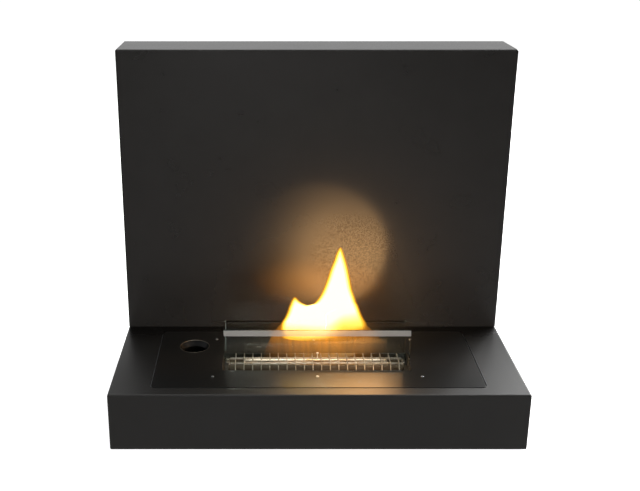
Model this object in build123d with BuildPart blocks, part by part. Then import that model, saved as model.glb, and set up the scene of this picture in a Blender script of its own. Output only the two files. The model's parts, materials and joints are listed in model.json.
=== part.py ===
"""Bioethanol fireplace: folded steel base and back panel with a lift-out slot burner.

Millimetres.  +Z is up, +X is to the right of someone facing the fire, and -Y is the front.
The origin is on the floor, under the middle of the outline.
"""
import os

from build123d import *

os.makedirs("parts", exist_ok=True)

# ---------------------------------------------------------------- driving dimensions
# casing
overall_width = 600.0
overall_depth = 328.0
base_height = 87.0
panel_height = 449.0
panel_depth = 93.0
casing_sheet = 2.0            # powder-coated steel, folded
casing_bend = 3.0             # outside radius of the folds
return_flange = 15.0          # inward folds that carry the floor and the rear cover
cover_sheet = 1.5             # floor and rear cover
cover_recess = 2.0            # the rear cover lies this far inside the casing's rear edge
cover_play = 0.5              # gap round the floor and the rear cover
foot_height = 4.0
foot_radius = 12.0
foot_inset = 30.0             # foot centres from the casing's sides
foot_taper = 5.0              # degrees

# stiffeners inside the back panel
stiffener_span = 300.0
stiffener_end_gap = 29.5
stiffener_crown = 30.0
stiffener_rise = 20.0
stiffener_flange = 12.0
stiffener_sheet = 1.2

# burner plate, let into the top of the base
plate_side_margin = 59.5      # base showing at each side of the plate
plate_front_margin = 23.0
plate_rear_margin = 19.5      # up to the back panel
plate_sheet = 2.0
plate_corner = 8.0
plate_gap = 1.5               # shadow line round the plate
plate_arris = 0.4             # broken edges of the plate's upper face
seat_gap = 0.3                # what lifts out rests this close to its seat
rail_width = 25.0
rail_under_plate = 10.0
rail_drop = 14.0

# trough in the plate
trough_end_margin = 100.0     # from the plate's ends
trough_width = 61.0
trough_front_margin = 54.0    # from the plate's front edge
trough_depth = 13.0
trough_corner = 3.0
trough_sheet = 1.5
trough_flange_margin = 5.5    # round the screws

# panes of glass and the channels that they stand in
glass_end_gap = 3.0
glass_thickness = 6.0
front_glass_rise = 62.0       # above the plate
rear_glass_rise = 54.0
glass_bevel_rise = 7.4
glass_bevel_depth = 3.5
glass_arris = 0.6
holder_sheet = 1.0
holder_height = 5.0
holder_play = 0.3

# burner slot
slot_end_gap = 8.5            # from the trough's ends
slot_box_width = 19.0
slot_box_sheet = 1.2
slot_box_play = 0.4
wick_end_gap = 24.0           # open slot at each end of the wick
wick_opening = 14.0
wick_sheet = 1.0
wick_collar_depth = 26.0
wool_below_lip = 1.8
wool_play = 0.3

# wire guard over the slot
rod_diameter = 2.0
rod_end_gap = 3.0             # inside the ends of the slot
wire_diameter = 1.5
wire_count = 20
wire_end_margin = 6.15        # last wires from the rods' ends
wire_shift = 1.5              # the grid is welded on this far to the right
wire_front_run = 2.0          # level stretch in front of the front rod
wire_clearance = 0.4          # wires to the glass channels
weld_gap = 0.02

# fuel tank
tank_end_gap = 7.0            # to the rails, as the tank lifts out between them
tank_side_gap = 9.25
tank_below_plate = 20.0
tank_floor_gap = 20.3
tank_flange = 13.0
tank_sheet = 1.5
tank_corner = 12.0
tub_bottom_bend = 4.0
wool_thickness = 26.0
wool_corner = 6.0
wool_side_gap = 8.0
stud_diameter = 4.0
stud_inset = 6.5
spacer_diameter = 8.0

# filler
filler_beside_trough = 46.5
filler_from_plate_rear = 55.5
filler_mouth_diameter = 46.3
filler_bore_diameter = 35.4
filler_cone_depth = 6.0
filler_flange_diameter = 52.0
filler_sheet = 1.5
strainer_depth = 9.0          # below the top of the neck
strainer_rim = 6.0
strainer_sheet = 1.0
strainer_hole = 6.0
strainer_pitch = 10.0
strainer_ring = 6             # holes round the middle one

# fasteners
screw_head = 7.0
screw_head_rise = 1.6
screw_shank = 3.5
screw_length = 8.0
hole_play = 0.1               # on diameter, round every shank
plate_screw_head = 4.6
plate_screw_rise = 1.1
plate_screw_shank = 3.0
plate_screw_length = 7.0
plate_screw_beside = 12.8     # from the trough's ends
plate_screw_front = 25.1      # from the front rail
plate_screw_rear = 22.0       # from the rear rail
bolt_diameter = 6.0
bolt_head_across = 10.0
bolt_head_rise = 4.0
nut_rise = 5.0
bolt_past_nut = 3.0
bolt_inset_x = 60.0           # from the panel's sides
bolt_inset_y = 23.5           # from the panel's front and rear
small_nut_across = 7.0
small_nut_rise = 3.2
keyhole_inset = 100.0         # from the casing's sides
keyhole_entry = 12.0
keyhole_slot = 6.5
keyhole_rise = 11.0
keyhole_below_top = 60.0
screw_corner_inset = 26.5     # corner screws from the ends of their row

# ---------------------------------------------------------------- places worked out from them
base_bottom_z = foot_height
base_top_z = base_bottom_z + base_height
panel_top_z = base_top_z + panel_height
base_under_z = base_top_z - casing_sheet
front_y = -overall_depth / 2
rear_y = overall_depth / 2
panel_front_y = rear_y - panel_depth
panel_mid_y = (panel_front_y + rear_y) / 2
inner_width = overall_width - 2 * casing_sheet
inner_depth = overall_depth - 2 * casing_sheet
cover_y = rear_y - cover_recess - cover_sheet
flange_y = cover_y - casing_sheet
floor_top_z = base_bottom_z + cover_sheet

plate_length = overall_width - 2 * plate_side_margin
plate_width = overall_depth - panel_depth - plate_front_margin - plate_rear_margin
plate_front_y = front_y + plate_front_margin
plate_mid_y = plate_front_y + plate_width / 2
plate_under_z = base_under_z + seat_gap
plate_top_z = plate_under_z + plate_sheet
opening_length = plate_length + 2 * plate_gap
opening_width = plate_width + 2 * plate_gap
rail_reach = rail_width - rail_under_plate
between_rails_x = opening_length - 2 * rail_under_plate
between_rails_y = opening_width - 2 * rail_under_plate

trough_length = plate_length - 2 * trough_end_margin
trough_front_y = plate_front_y + trough_front_margin
trough_rear_y = trough_front_y + trough_width
trough_mid_y = (trough_front_y + trough_rear_y) / 2
trough_floor_z = plate_top_z - trough_depth
trough_under_z = trough_floor_z - trough_sheet

holder_width = glass_thickness + 2 * holder_play + 2 * holder_sheet
holder_length = trough_length - 2 * (trough_corner + holder_play)
glass_length = trough_length - 2 * glass_end_gap
front_holder_y = trough_front_y + holder_width / 2
rear_holder_y = trough_rear_y - holder_width / 2
glass_bottom_z = trough_floor_z + holder_sheet + seat_gap

slot_box_length = trough_length - 2 * slot_end_gap
wick_length = slot_box_length - 2 * wick_end_gap

tank_length = between_rails_x - 2 * tank_end_gap
tank_width = between_rails_y - 2 * tank_side_gap
tank_lid_top_z = plate_under_z - tank_below_plate
tank_lid_under_z = tank_lid_top_z - tank_sheet
tank_bottom_z = floor_top_z + tank_floor_gap
tank_depth = tank_lid_under_z - tank_bottom_z
tub_length = tank_length - 2 * tank_flange
tub_width = tank_width - 2 * tank_flange

lip_top_z = plate_top_z
slot_box_top_z = lip_top_z - wick_sheet
rod_z = lip_top_z + seat_gap + rod_diameter / 2
wire_z = rod_z + (rod_diameter + wire_diameter) / 2 + weld_gap
rod_length = slot_box_length - 2 * rod_end_gap
rod_spacing = slot_box_width - rod_diameter
rod_y = (trough_mid_y - rod_spacing / 2, trough_mid_y + rod_spacing / 2)
wire_pitch = (rod_length - 2 * wire_end_margin) / (wire_count - 1)

filler_x = -trough_length / 2 - filler_beside_trough
filler_y = plate_front_y + plate_width - filler_from_plate_rear
neck_top_z = plate_under_z - filler_cone_depth
neck_radius = filler_bore_diameter / 2 + filler_sheet

foot_places = (overall_width - 2 * foot_inset, overall_depth - 2 * foot_inset)
plate_screw_x = trough_length / 2 + plate_screw_beside
plate_screw_rows = (
    plate_mid_y - between_rails_y / 2 + plate_screw_front,
    plate_mid_y + between_rails_y / 2 - plate_screw_rear,
)
bolt_span_x = overall_width - 2 * bolt_inset_x
bolt_span_y = panel_depth - 2 * bolt_inset_y
keyhole_span = overall_width - 2 * keyhole_inset


def rim_places(length, width):
    """Screw places round a frame of folds: three along each long row, one on each short one."""
    row_length = length - return_flange
    row_width = width - return_flange
    long_rows = [
        (place * (row_length / 2 - screw_corner_inset), side * row_width / 2)
        for place in (-1, 0, 1)
        for side in (-1, 1)
    ]
    return long_rows + [(-row_length / 2, 0), (row_length / 2, 0)]


floor_screw_places = rim_places(inner_width, inner_depth)
cover_screw_places = rim_places(inner_width, panel_height - 2 * casing_sheet)


def save(piece, name):
    """Label a finished piece and write it as its own file."""
    piece.part.label = name
    export_step(piece.part, f"parts/{name}.step")
    solids = piece.part.solids()
    print(f"{name}: {len(solids)} solids, {piece.part.volume / 1000:.2f} cm3")


# ================================================================ casing
# Base: one folded sheet, open underneath, with the burner's cut-out in its top.
with BuildPart() as base_shell:
    with BuildSketch(Plane.XY.offset(base_bottom_z)):
        Rectangle(overall_width, overall_depth)
    extrude(amount=base_height)
    outer_edges = base_shell.edges().filter_by(lambda edge: edge.center().Z > base_bottom_z)
    fillet(outer_edges, radius=casing_bend)
    offset(amount=-casing_sheet, openings=base_shell.faces().sort_by(Axis.Z)[0])
    # inward folds at the foot of the walls
    with BuildSketch(Plane.XY.offset(floor_top_z)):
        RectangleRounded(overall_width - casing_sheet, overall_depth - casing_sheet, casing_bend / 2)
        Rectangle(inner_width - 2 * return_flange, inner_depth - 2 * return_flange, mode=Mode.SUBTRACT)
    extrude(amount=casing_sheet)
    # cut-out for the burner plate
    with BuildSketch(Plane.XY.offset(base_under_z)):
        with Locations((0, plate_mid_y)):
            RectangleRounded(opening_length, opening_width, plate_corner + plate_gap)
    extrude(amount=casing_sheet, mode=Mode.SUBTRACT)
    # holes for the bolts of the back panel
    with BuildSketch(Plane.XY.offset(base_under_z)):
        with Locations((0, panel_mid_y)):
            with GridLocations(bolt_span_x, bolt_span_y, 2, 2):
                Circle((bolt_diameter + hole_play) / 2)
    extrude(amount=casing_sheet, mode=Mode.SUBTRACT)
    # holes for the floor's screws
    with BuildSketch(Plane.XY.offset(floor_top_z)):
        with Locations(*floor_screw_places):
            Circle((screw_shank + hole_play) / 2)
    extrude(amount=casing_sheet, mode=Mode.SUBTRACT)
save(base_shell, "base_shell")

# Floor: a flat sheet inside the walls, screwed up against the folds.
with BuildPart() as base_floor:
    with BuildSketch(Plane.XY.offset(base_bottom_z)):
        Rectangle(inner_width - 2 * cover_play, inner_depth - 2 * cover_play)
        with Locations(*floor_screw_places):
            Circle((screw_shank + hole_play) / 2, mode=Mode.SUBTRACT)
        with GridLocations(foot_places[0], foot_places[1], 2, 2):
            Circle((screw_shank + hole_play) / 2, mode=Mode.SUBTRACT)
    extrude(amount=cover_sheet)
save(base_floor, "base_floor")

with BuildPart() as floor_screws:
    with BuildSketch(Plane.XY.offset(base_bottom_z)):
        with Locations(*floor_screw_places):
            Circle(screw_head / 2)
    extrude(amount=-screw_head_rise)
    with BuildSketch(Plane.XY.offset(base_bottom_z)):
        with Locations(*floor_screw_places):
            Circle(screw_shank / 2)
    extrude(amount=screw_length)
save(floor_screws, "floor_screws")

# Rubber feet, each with a well for its screw.
with BuildPart() as rubber_feet:
    with BuildSketch():
        with GridLocations(foot_places[0], foot_places[1], 2, 2):
            Circle(foot_radius)
    extrude(amount=foot_height, taper=foot_taper)
    with BuildSketch():
        with GridLocations(foot_places[0], foot_places[1], 2, 2):
            Circle(screw_head / 2 + hole_play)
    extrude(amount=foot_height / 2, mode=Mode.SUBTRACT)
    with BuildSketch():
        with GridLocations(foot_places[0], foot_places[1], 2, 2):
            Circle((screw_shank + hole_play) / 2)
    extrude(amount=foot_height, mode=Mode.SUBTRACT)
save(rubber_feet, "rubber_feet")

with BuildPart() as foot_screws:
    with BuildSketch(Plane.XY.offset(foot_height / 2)):
        with GridLocations(foot_places[0], foot_places[1], 2, 2):
            Circle(screw_head / 2)
    extrude(amount=-screw_head_rise)
    with BuildSketch(Plane.XY.offset(foot_height / 2)):
        with GridLocations(foot_places[0], foot_places[1], 2, 2):
            Circle(screw_shank / 2)
    extrude(amount=screw_length)
save(foot_screws, "foot_screws")

# Back panel: a folded box, open behind, that stands on the rear of the base.
with BuildPart() as back_panel_shell:
    with BuildSketch(Plane.XY.offset(base_top_z)):
        with Locations((0, panel_mid_y)):
            Rectangle(overall_width, panel_depth)
    extrude(amount=panel_height)
    front_edges = back_panel_shell.edges().filter_by(lambda edge: edge.center().Y < rear_y)
    outer_edges = front_edges.filter_by(lambda edge: edge.center().Z > base_top_z)
    fillet(outer_edges, radius=casing_bend)
    offset(amount=-casing_sheet, openings=back_panel_shell.faces().sort_by(Axis.Y)[-1])
    # inward folds round the rear opening
    with BuildSketch(Plane.XZ.offset(-flange_y)):
        with Locations((0, base_top_z + panel_height / 2)):
            Rectangle(overall_width - casing_sheet, panel_height - casing_sheet)
            Rectangle(
                inner_width - 2 * return_flange,
                panel_height - 2 * casing_sheet - 2 * return_flange,
                mode=Mode.SUBTRACT,
            )
    extrude(amount=-casing_sheet)
    with BuildSketch(Plane.XY.offset(base_top_z)):
        with Locations((0, panel_mid_y)):
            with GridLocations(bolt_span_x, bolt_span_y, 2, 2):
                Circle((bolt_diameter + hole_play) / 2)
    extrude(amount=casing_sheet, mode=Mode.SUBTRACT)
    with BuildSketch(Plane.XZ.offset(-flange_y)):
        with Locations((0, base_top_z + panel_height / 2)):
            with Locations(*cover_screw_places):
                Circle((screw_shank + hole_play) / 2)
    extrude(amount=-casing_sheet, mode=Mode.SUBTRACT)
save(back_panel_shell, "back_panel_shell")

# Two hat-section stiffeners, spot-welded behind the panel's face.
with BuildPart() as panel_stiffeners:
    with BuildSketch(Plane.XY.offset(base_top_z + stiffener_end_gap)):
        with Locations((0, panel_front_y + casing_sheet)):
            with GridLocations(stiffener_span, 1, 2, 1):
                foot_line = stiffener_crown / 2 + stiffener_flange
                Rectangle(2 * foot_line, stiffener_sheet, align=(Align.CENTER, Align.MIN))
                Rectangle(stiffener_crown, stiffener_rise, align=(Align.CENTER, Align.MIN))
                with Locations((0, -stiffener_sheet)):
                    Rectangle(
                        stiffener_crown - 2 * stiffener_sheet,
                        stiffener_rise,
                        align=(Align.CENTER, Align.MIN),
                        mode=Mode.SUBTRACT,
                    )
    extrude(amount=panel_height - 2 * stiffener_end_gap)
save(panel_stiffeners, "panel_stiffeners")

# Rear cover with two keyholes that hang on wall screws.
with BuildPart() as rear_cover:
    with BuildSketch(Plane.XZ.offset(-cover_y)):
        with Locations((0, base_top_z + panel_height / 2)):
            Rectangle(inner_width - 2 * cover_play, panel_height - 2 * casing_sheet - 2 * cover_play)
            with Locations(*cover_screw_places):
                Circle((screw_shank + hole_play) / 2, mode=Mode.SUBTRACT)
        with Locations((0, panel_top_z - keyhole_below_top)):
            with GridLocations(keyhole_span, 1, 2, 1):
                Circle(keyhole_entry / 2, mode=Mode.SUBTRACT)
                with Locations((0, keyhole_rise / 2)):
                    Rectangle(keyhole_slot, keyhole_rise, mode=Mode.SUBTRACT)
                with Locations((0, keyhole_rise)):
                    Circle(keyhole_slot / 2, mode=Mode.SUBTRACT)
    extrude(amount=-cover_sheet)
save(rear_cover, "rear_cover")

with BuildPart() as cover_screws:
    with BuildSketch(Plane.XZ.offset(-cover_y - cover_sheet)):
        with Locations((0, base_top_z + panel_height / 2)):
            with Locations(*cover_screw_places):
                Circle(screw_head / 2)
    extrude(amount=-screw_head_rise)
    with BuildSketch(Plane.XZ.offset(-cover_y - cover_sheet)):
        with Locations((0, base_top_z + panel_height / 2)):
            with Locations(*cover_screw_places):
                Circle(screw_shank / 2)
    extrude(amount=screw_length)
save(cover_screws, "cover_screws")

# Bolts through the base's top and the panel's bottom, heads in the base, nuts in the panel.
with BuildPart() as panel_bolts:
    with BuildSketch(Plane.XY.offset(base_under_z)):
        with Locations((0, panel_mid_y)):
            with GridLocations(bolt_span_x, bolt_span_y, 2, 2):
                RegularPolygon(bolt_head_across / 2, 6, major_radius=False)
    extrude(amount=-bolt_head_rise)
    with BuildSketch(Plane.XY.offset(base_under_z)):
        with Locations((0, panel_mid_y)):
            with GridLocations(bolt_span_x, bolt_span_y, 2, 2):
                Circle(bolt_diameter / 2)
    extrude(amount=2 * casing_sheet + nut_rise + bolt_past_nut)
save(panel_bolts, "panel_bolts")

with BuildPart() as panel_nuts:
    with BuildSketch(Plane.XY.offset(base_top_z + casing_sheet)):
        with Locations((0, panel_mid_y)):
            with GridLocations(bolt_span_x, bolt_span_y, 2, 2):
                RegularPolygon(bolt_head_across / 2, 6, major_radius=False)
                Circle((bolt_diameter + hole_play) / 2, mode=Mode.SUBTRACT)
    extrude(amount=nut_rise)
save(panel_nuts, "panel_nuts")

# Angle rails welded under the cut-out: the burner plate's edge rests on them.
with BuildPart() as insert_rails:
    outer_length = opening_length + 2 * rail_reach
    outer_width = opening_width + 2 * rail_reach
    with BuildSketch(Plane.XY.offset(base_under_z)):
        with Locations((0, plate_mid_y)):
            with GridLocations(1, outer_width - rail_width, 1, 2):
                Rectangle(outer_length, rail_width)
            with GridLocations(outer_length - rail_width, 1, 2, 1):
                Rectangle(rail_width, outer_width - 2 * rail_width - 2 * cover_play)
    extrude(amount=-casing_sheet)
    with BuildSketch(Plane.XY.offset(base_under_z)):
        with Locations((0, plate_mid_y)):
            with GridLocations(1, outer_width - casing_sheet, 1, 2):
                Rectangle(outer_length, casing_sheet)
            with GridLocations(outer_length - casing_sheet, 1, 2, 1):
                Rectangle(casing_sheet, outer_width - 2 * rail_width - 2 * cover_play)
    extrude(amount=-rail_drop)
save(insert_rails, "insert_rails")

# ================================================================ burner unit, lifts out as one
with BuildPart() as burner_plate:
    with BuildSketch(Plane.XY.offset(plate_under_z)):
        with Locations((0, plate_mid_y)):
            RectangleRounded(plate_length, plate_width, plate_corner)
        with Locations((0, trough_mid_y)):
            RectangleRounded(trough_length, trough_width, trough_corner, mode=Mode.SUBTRACT)
        with Locations((filler_x, filler_y)):
            Circle(filler_mouth_diameter / 2, mode=Mode.SUBTRACT)
        for row_y in plate_screw_rows:
            with Locations((0, row_y)):
                with GridLocations(plate_screw_x, 1, 3, 1):
                    Circle((plate_screw_shank + hole_play) / 2, mode=Mode.SUBTRACT)
    extrude(amount=plate_sheet)
    chamfer(burner_plate.faces().sort_by(Axis.Z)[-1].edges().filter_by(GeomType.LINE), length=plate_arris)
save(burner_plate, "burner_plate")

# Trough: a pressed tray whose flange is screwed up under the plate.
with BuildPart() as trough_tray:
    flange_front_y = plate_screw_rows[0] - trough_flange_margin
    flange_rear_y = plate_screw_rows[1] + trough_flange_margin
    with BuildSketch(Plane.XY.offset(plate_under_z)):
        with Locations((0, (flange_front_y + flange_rear_y) / 2)):
            RectangleRounded(
                2 * (plate_screw_x + trough_flange_margin),
                flange_rear_y - flange_front_y,
                plate_corner,
            )
        for row_y in plate_screw_rows:
            with Locations((0, row_y)):
                with GridLocations(plate_screw_x, 1, 3, 1):
                    Circle((plate_screw_shank + hole_play) / 2, mode=Mode.SUBTRACT)
    extrude(amount=-trough_sheet)
    with BuildSketch(Plane.XY.offset(trough_under_z)):
        with Locations((0, trough_mid_y)):
            RectangleRounded(
                trough_length + 2 * trough_sheet,
                trough_width + 2 * trough_sheet,
                trough_corner + trough_sheet,
            )
    extrude(until=Until.NEXT)
    with BuildSketch(Plane.XY.offset(trough_floor_z)):
        with Locations((0, trough_mid_y)):
            RectangleRounded(trough_length, trough_width, trough_corner)
    extrude(amount=trough_depth, mode=Mode.SUBTRACT)
    with BuildSketch(Plane.XY.offset(trough_under_z)):
        with Locations((0, trough_mid_y)):
            Rectangle(slot_box_length + 2 * slot_box_play, slot_box_width + 2 * slot_box_play)
    extrude(amount=trough_sheet, mode=Mode.SUBTRACT)
save(trough_tray, "trough_tray")

with BuildPart() as plate_screws:
    for row_y in plate_screw_rows:
        with BuildSketch(Plane.XY.offset(plate_top_z)):
            with Locations((0, row_y)):
                with GridLocations(plate_screw_x, 1, 3, 1):
                    Circle(plate_screw_head / 2)
        extrude(amount=plate_screw_rise)
        with BuildSketch(Plane.XY.offset(plate_top_z)):
            with Locations((0, row_y)):
                with GridLocations(plate_screw_x, 1, 3, 1):
                    Circle(plate_screw_shank / 2)
        extrude(amount=-plate_screw_length)
    head_tops = plate_screws.faces().filter_by(Axis.Z).group_by(Axis.Z)[-1]
    chamfer(head_tops.edges(), length=plate_screw_rise / 2)
save(plate_screws, "plate_screws")


def glass_channel(y):
    """A shallow U channel on the trough's floor that a pane stands in."""
    with BuildPart() as channel:
        with BuildSketch(Plane.XY.offset(trough_floor_z)):
            with Locations((0, y)):
                Rectangle(holder_length, holder_width)
        extrude(amount=holder_height)
        with BuildSketch(Plane.XY.offset(trough_floor_z + holder_sheet)):
            with Locations((0, y)):
                Rectangle(holder_length, glass_thickness + 2 * holder_play)
        extrude(amount=holder_height, mode=Mode.SUBTRACT)
    return channel


front_glass_channel = glass_channel(front_holder_y)
save(front_glass_channel, "front_glass_channel")
rear_glass_channel = glass_channel(rear_holder_y)
save(rear_glass_channel, "rear_glass_channel")

# Black box round the burner slot, welded on the tank's lid and open at both ends of the wick.
with BuildPart() as slot_box:
    inner_box_length = slot_box_length - 2 * slot_box_sheet
    inner_box_width = slot_box_width - 2 * slot_box_sheet
    with BuildSketch(Plane.XY.offset(tank_lid_top_z)):
        with Locations((0, trough_mid_y)):
            Rectangle(slot_box_length, slot_box_width)
            Rectangle(inner_box_length, inner_box_width, mode=Mode.SUBTRACT)
    extrude(amount=slot_box_top_z - tank_lid_top_z)
save(slot_box, "slot_box")

# Bright collar that frames the wick, its flange hung on the slot box.
with BuildPart() as wick_collar:
    with BuildSketch(Plane.XY.offset(slot_box_top_z)):
        with Locations((0, trough_mid_y)):
            Rectangle(wick_length, slot_box_width)
    extrude(amount=wick_sheet)
    with BuildSketch(Plane.XY.offset(lip_top_z)):
        with Locations((0, trough_mid_y)):
            Rectangle(wick_length, wick_opening + 2 * wick_sheet)
    extrude(amount=-wick_collar_depth)
    with BuildSketch(Plane.XY.offset(lip_top_z)):
        with Locations((0, trough_mid_y)):
            Rectangle(wick_length - 2 * wick_sheet, wick_opening)
    extrude(amount=-wick_collar_depth, mode=Mode.SUBTRACT)
save(wick_collar, "wick_collar")

# Ceramic wool: a pad in the tank with a ridge that fills the collar.
with BuildPart() as ceramic_wool:
    with BuildSketch(Plane.XY.offset(tank_bottom_z + tank_sheet)):
        with Locations((0, plate_mid_y)):
            RectangleRounded(
                tub_length - 2 * tank_sheet - 2 * wool_side_gap,
                tub_width - 2 * tank_sheet - 2 * wool_side_gap,
                wool_corner,
            )
    extrude(amount=wool_thickness)
    wool_top_z = lip_top_z - wool_below_lip
    pad_top_z = tank_bottom_z + tank_sheet + wool_thickness
    with BuildSketch(Plane.XY.offset(wool_top_z)):
        with Locations((0, trough_mid_y)):
            Rectangle(wick_length - 2 * wick_sheet - 2 * wool_play, wick_opening - 2 * wool_play)
    extrude(amount=pad_top_z - wool_top_z)
save(ceramic_wool, "ceramic_wool")

# Tank: a drawn tub under a flat lid, clamped by four studs welded under the plate.
with BuildPart() as tank_lid:
    with BuildSketch(Plane.XY.offset(tank_lid_under_z)):
        with Locations((0, plate_mid_y)):
            RectangleRounded(tank_length, tank_width, plate_corner)
            with GridLocations(tank_length - 2 * stud_inset, tank_width - 2 * stud_inset, 2, 2):
                Circle((stud_diameter + hole_play) / 2, mode=Mode.SUBTRACT)
        with Locations((0, trough_mid_y)):
            Rectangle(inner_box_length, inner_box_width, mode=Mode.SUBTRACT)
        with Locations((filler_x, filler_y)):
            Circle(filler_bore_diameter / 2, mode=Mode.SUBTRACT)
    extrude(amount=tank_sheet)
save(tank_lid, "tank_lid")

with BuildPart() as tank_tub:
    with BuildSketch(Plane.XY.offset(tank_lid_under_z)):
        with Locations((0, plate_mid_y)):
            RectangleRounded(tank_length, tank_width, plate_corner)
            with GridLocations(tank_length - 2 * stud_inset, tank_width - 2 * stud_inset, 2, 2):
                Circle((stud_diameter + hole_play) / 2, mode=Mode.SUBTRACT)
    extrude(amount=-tank_sheet)
    with BuildSketch(Plane.XY.offset(tank_bottom_z)):
        with Locations((0, plate_mid_y)):
            RectangleRounded(tub_length, tub_width, tank_corner)
    extrude(amount=tank_depth)
    fillet(tank_tub.faces().sort_by(Axis.Z)[0].edges(), radius=tub_bottom_bend)
    with BuildSketch(Plane.XY.offset(tank_bottom_z + tank_sheet)):
        with Locations((0, plate_mid_y)):
            RectangleRounded(
                tub_length - 2 * tank_sheet,
                tub_width - 2 * tank_sheet,
                tank_corner - tank_sheet,
            )
    extrude(amount=tank_depth, mode=Mode.SUBTRACT)
save(tank_tub, "tank_tub")

with BuildPart() as tank_studs:
    with BuildSketch(Plane.XY.offset(plate_under_z)):
        with Locations((0, plate_mid_y)):
            with GridLocations(tank_length - 2 * stud_inset, tank_width - 2 * stud_inset, 2, 2):
                Circle(stud_diameter / 2)
    extrude(amount=-(tank_below_plate + 2 * tank_sheet + 2 * small_nut_rise))
save(tank_studs, "tank_studs")

with BuildPart() as tank_spacers:
    with BuildSketch(Plane.XY.offset(tank_lid_top_z)):
        with Locations((0, plate_mid_y)):
            with GridLocations(tank_length - 2 * stud_inset, tank_width - 2 * stud_inset, 2, 2):
                Circle(spacer_diameter / 2)
                Circle((stud_diameter + hole_play) / 2, mode=Mode.SUBTRACT)
    extrude(amount=tank_below_plate)
save(tank_spacers, "tank_spacers")

with BuildPart() as tank_nuts:
    with BuildSketch(Plane.XY.offset(tank_lid_under_z - tank_sheet)):
        with Locations((0, plate_mid_y)):
            with GridLocations(tank_length - 2 * stud_inset, tank_width - 2 * stud_inset, 2, 2):
                RegularPolygon(small_nut_across / 2, 6, major_radius=False)
                Circle((stud_diameter + hole_play) / 2, mode=Mode.SUBTRACT)
    extrude(amount=-small_nut_rise)
save(tank_nuts, "tank_nuts")

# Filler: a spun cup welded under the plate, its cone leading into the neck.
with BuildPart() as filler_cup:
    with BuildSketch(Plane(origin=(filler_x, filler_y, 0), x_dir=(1, 0, 0), z_dir=(0, -1, 0))):
        with BuildLine():
            Polyline(
                (filler_mouth_diameter / 2, plate_under_z),
                (filler_flange_diameter / 2, plate_under_z),
                (filler_flange_diameter / 2, plate_under_z - filler_sheet),
                (filler_mouth_diameter / 2 + filler_sheet / 2, plate_under_z - filler_sheet),
                (neck_radius, neck_top_z - filler_sheet / 2),
                (neck_radius, neck_top_z - filler_sheet),
                (filler_bore_diameter / 2, neck_top_z - filler_sheet),
                (filler_bore_diameter / 2, neck_top_z),
                close=True,
            )
        make_face()
    revolve(axis=Axis((filler_x, filler_y, 0), (0, 0, 1)))
save(filler_cup, "filler_cup")

with BuildPart() as filler_neck:
    with BuildSketch(Plane.XY.offset(tank_lid_top_z)):
        with Locations((filler_x, filler_y)):
            Circle(neck_radius)
            Circle(filler_bore_diameter / 2, mode=Mode.SUBTRACT)
    extrude(amount=neck_top_z - filler_sheet - tank_lid_top_z)
save(filler_neck, "filler_neck")

# Perforated cup in the neck that keeps the flame out of the tank.
with BuildPart() as filler_strainer:
    strainer_top_z = neck_top_z - strainer_depth
    strainer_radius = (filler_bore_diameter - hole_play) / 2
    with BuildSketch(Plane.XY.offset(strainer_top_z)):
        with Locations((filler_x, filler_y)):
            Circle(strainer_radius)
    extrude(amount=-strainer_rim)
    with BuildSketch(Plane.XY.offset(strainer_top_z)):
        with Locations((filler_x, filler_y)):
            Circle(strainer_radius - strainer_sheet)
    extrude(amount=strainer_sheet - strainer_rim, mode=Mode.SUBTRACT)
    with BuildSketch(Plane.XY.offset(strainer_top_z - strainer_rim)):
        with Locations((filler_x, filler_y)):
            Circle(strainer_hole / 2)
            with PolarLocations(strainer_pitch, strainer_ring):
                Circle(strainer_hole / 2)
    extrude(amount=strainer_sheet, mode=Mode.SUBTRACT)
save(filler_strainer, "filler_strainer")

# ================================================================ wire guard, lifts off
with BuildPart() as guard_rods:
    with BuildSketch(Plane.YZ.offset(-rod_length / 2)):
        with Locations((rod_y[0], rod_z), (rod_y[1], rod_z)):
            Circle(rod_diameter / 2)
    extrude(amount=rod_length)
save(guard_rods, "guard_rods")

with BuildPart() as guard_wires:
    wire_radius = wire_diameter / 2
    front_foot_y = trough_front_y + holder_width + wire_clearance + wire_radius
    rear_foot_y = trough_rear_y - holder_width - wire_clearance - wire_radius
    rear_foot_z = trough_floor_z + seat_gap
    front_foot_z = rear_foot_z + wire_radius
    first_x = wire_shift - wire_pitch * (wire_count - 1) / 2
    for index in range(wire_count):
        wire_x = first_x + index * wire_pitch
        with BuildLine(Plane.YZ.offset(wire_x)) as wire_line:
            Polyline(
                (front_foot_y, front_foot_z),
                (rod_y[0] - wire_front_run, wire_z),
                (rear_foot_y, wire_z),
                (rear_foot_y, rear_foot_z),
            )
        with BuildSketch(Plane(origin=wire_line.line @ 0, z_dir=wire_line.line % 0)):
            Circle(wire_radius)
        sweep(transition=Transition.RIGHT)
save(guard_wires, "guard_wires")

# ================================================================ panes of glass, lift out
with BuildPart() as front_glass:
    with BuildSketch(Plane.XY.offset(glass_bottom_z)):
        with Locations((0, front_holder_y)):
            Rectangle(glass_length, glass_thickness)
    extrude(amount=plate_top_z + front_glass_rise - glass_bottom_z)
    pane_top = front_glass.faces().sort_by(Axis.Z)[-1]
    bevel_edge = pane_top.edges().filter_by(Axis.X).sort_by(Axis.Y)[0]
    chamfer(bevel_edge, length=glass_bevel_depth, length2=glass_bevel_rise, reference=pane_top)
    chamfer(front_glass.edges().filter_by(Axis.Z), length=glass_arris)
save(front_glass, "front_glass")

with BuildPart() as rear_glass:
    with BuildSketch(Plane.XY.offset(glass_bottom_z)):
        with Locations((0, rear_holder_y)):
            Rectangle(glass_length, glass_thickness)
    extrude(amount=plate_top_z + rear_glass_rise - glass_bottom_z)
    chamfer(rear_glass.edges().filter_by(Axis.Z), length=glass_arris)
    chamfer(rear_glass.faces().sort_by(Axis.Z)[-1].edges().filter_by(Axis.X), length=glass_arris)
save(rear_glass, "rear_glass")
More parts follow.
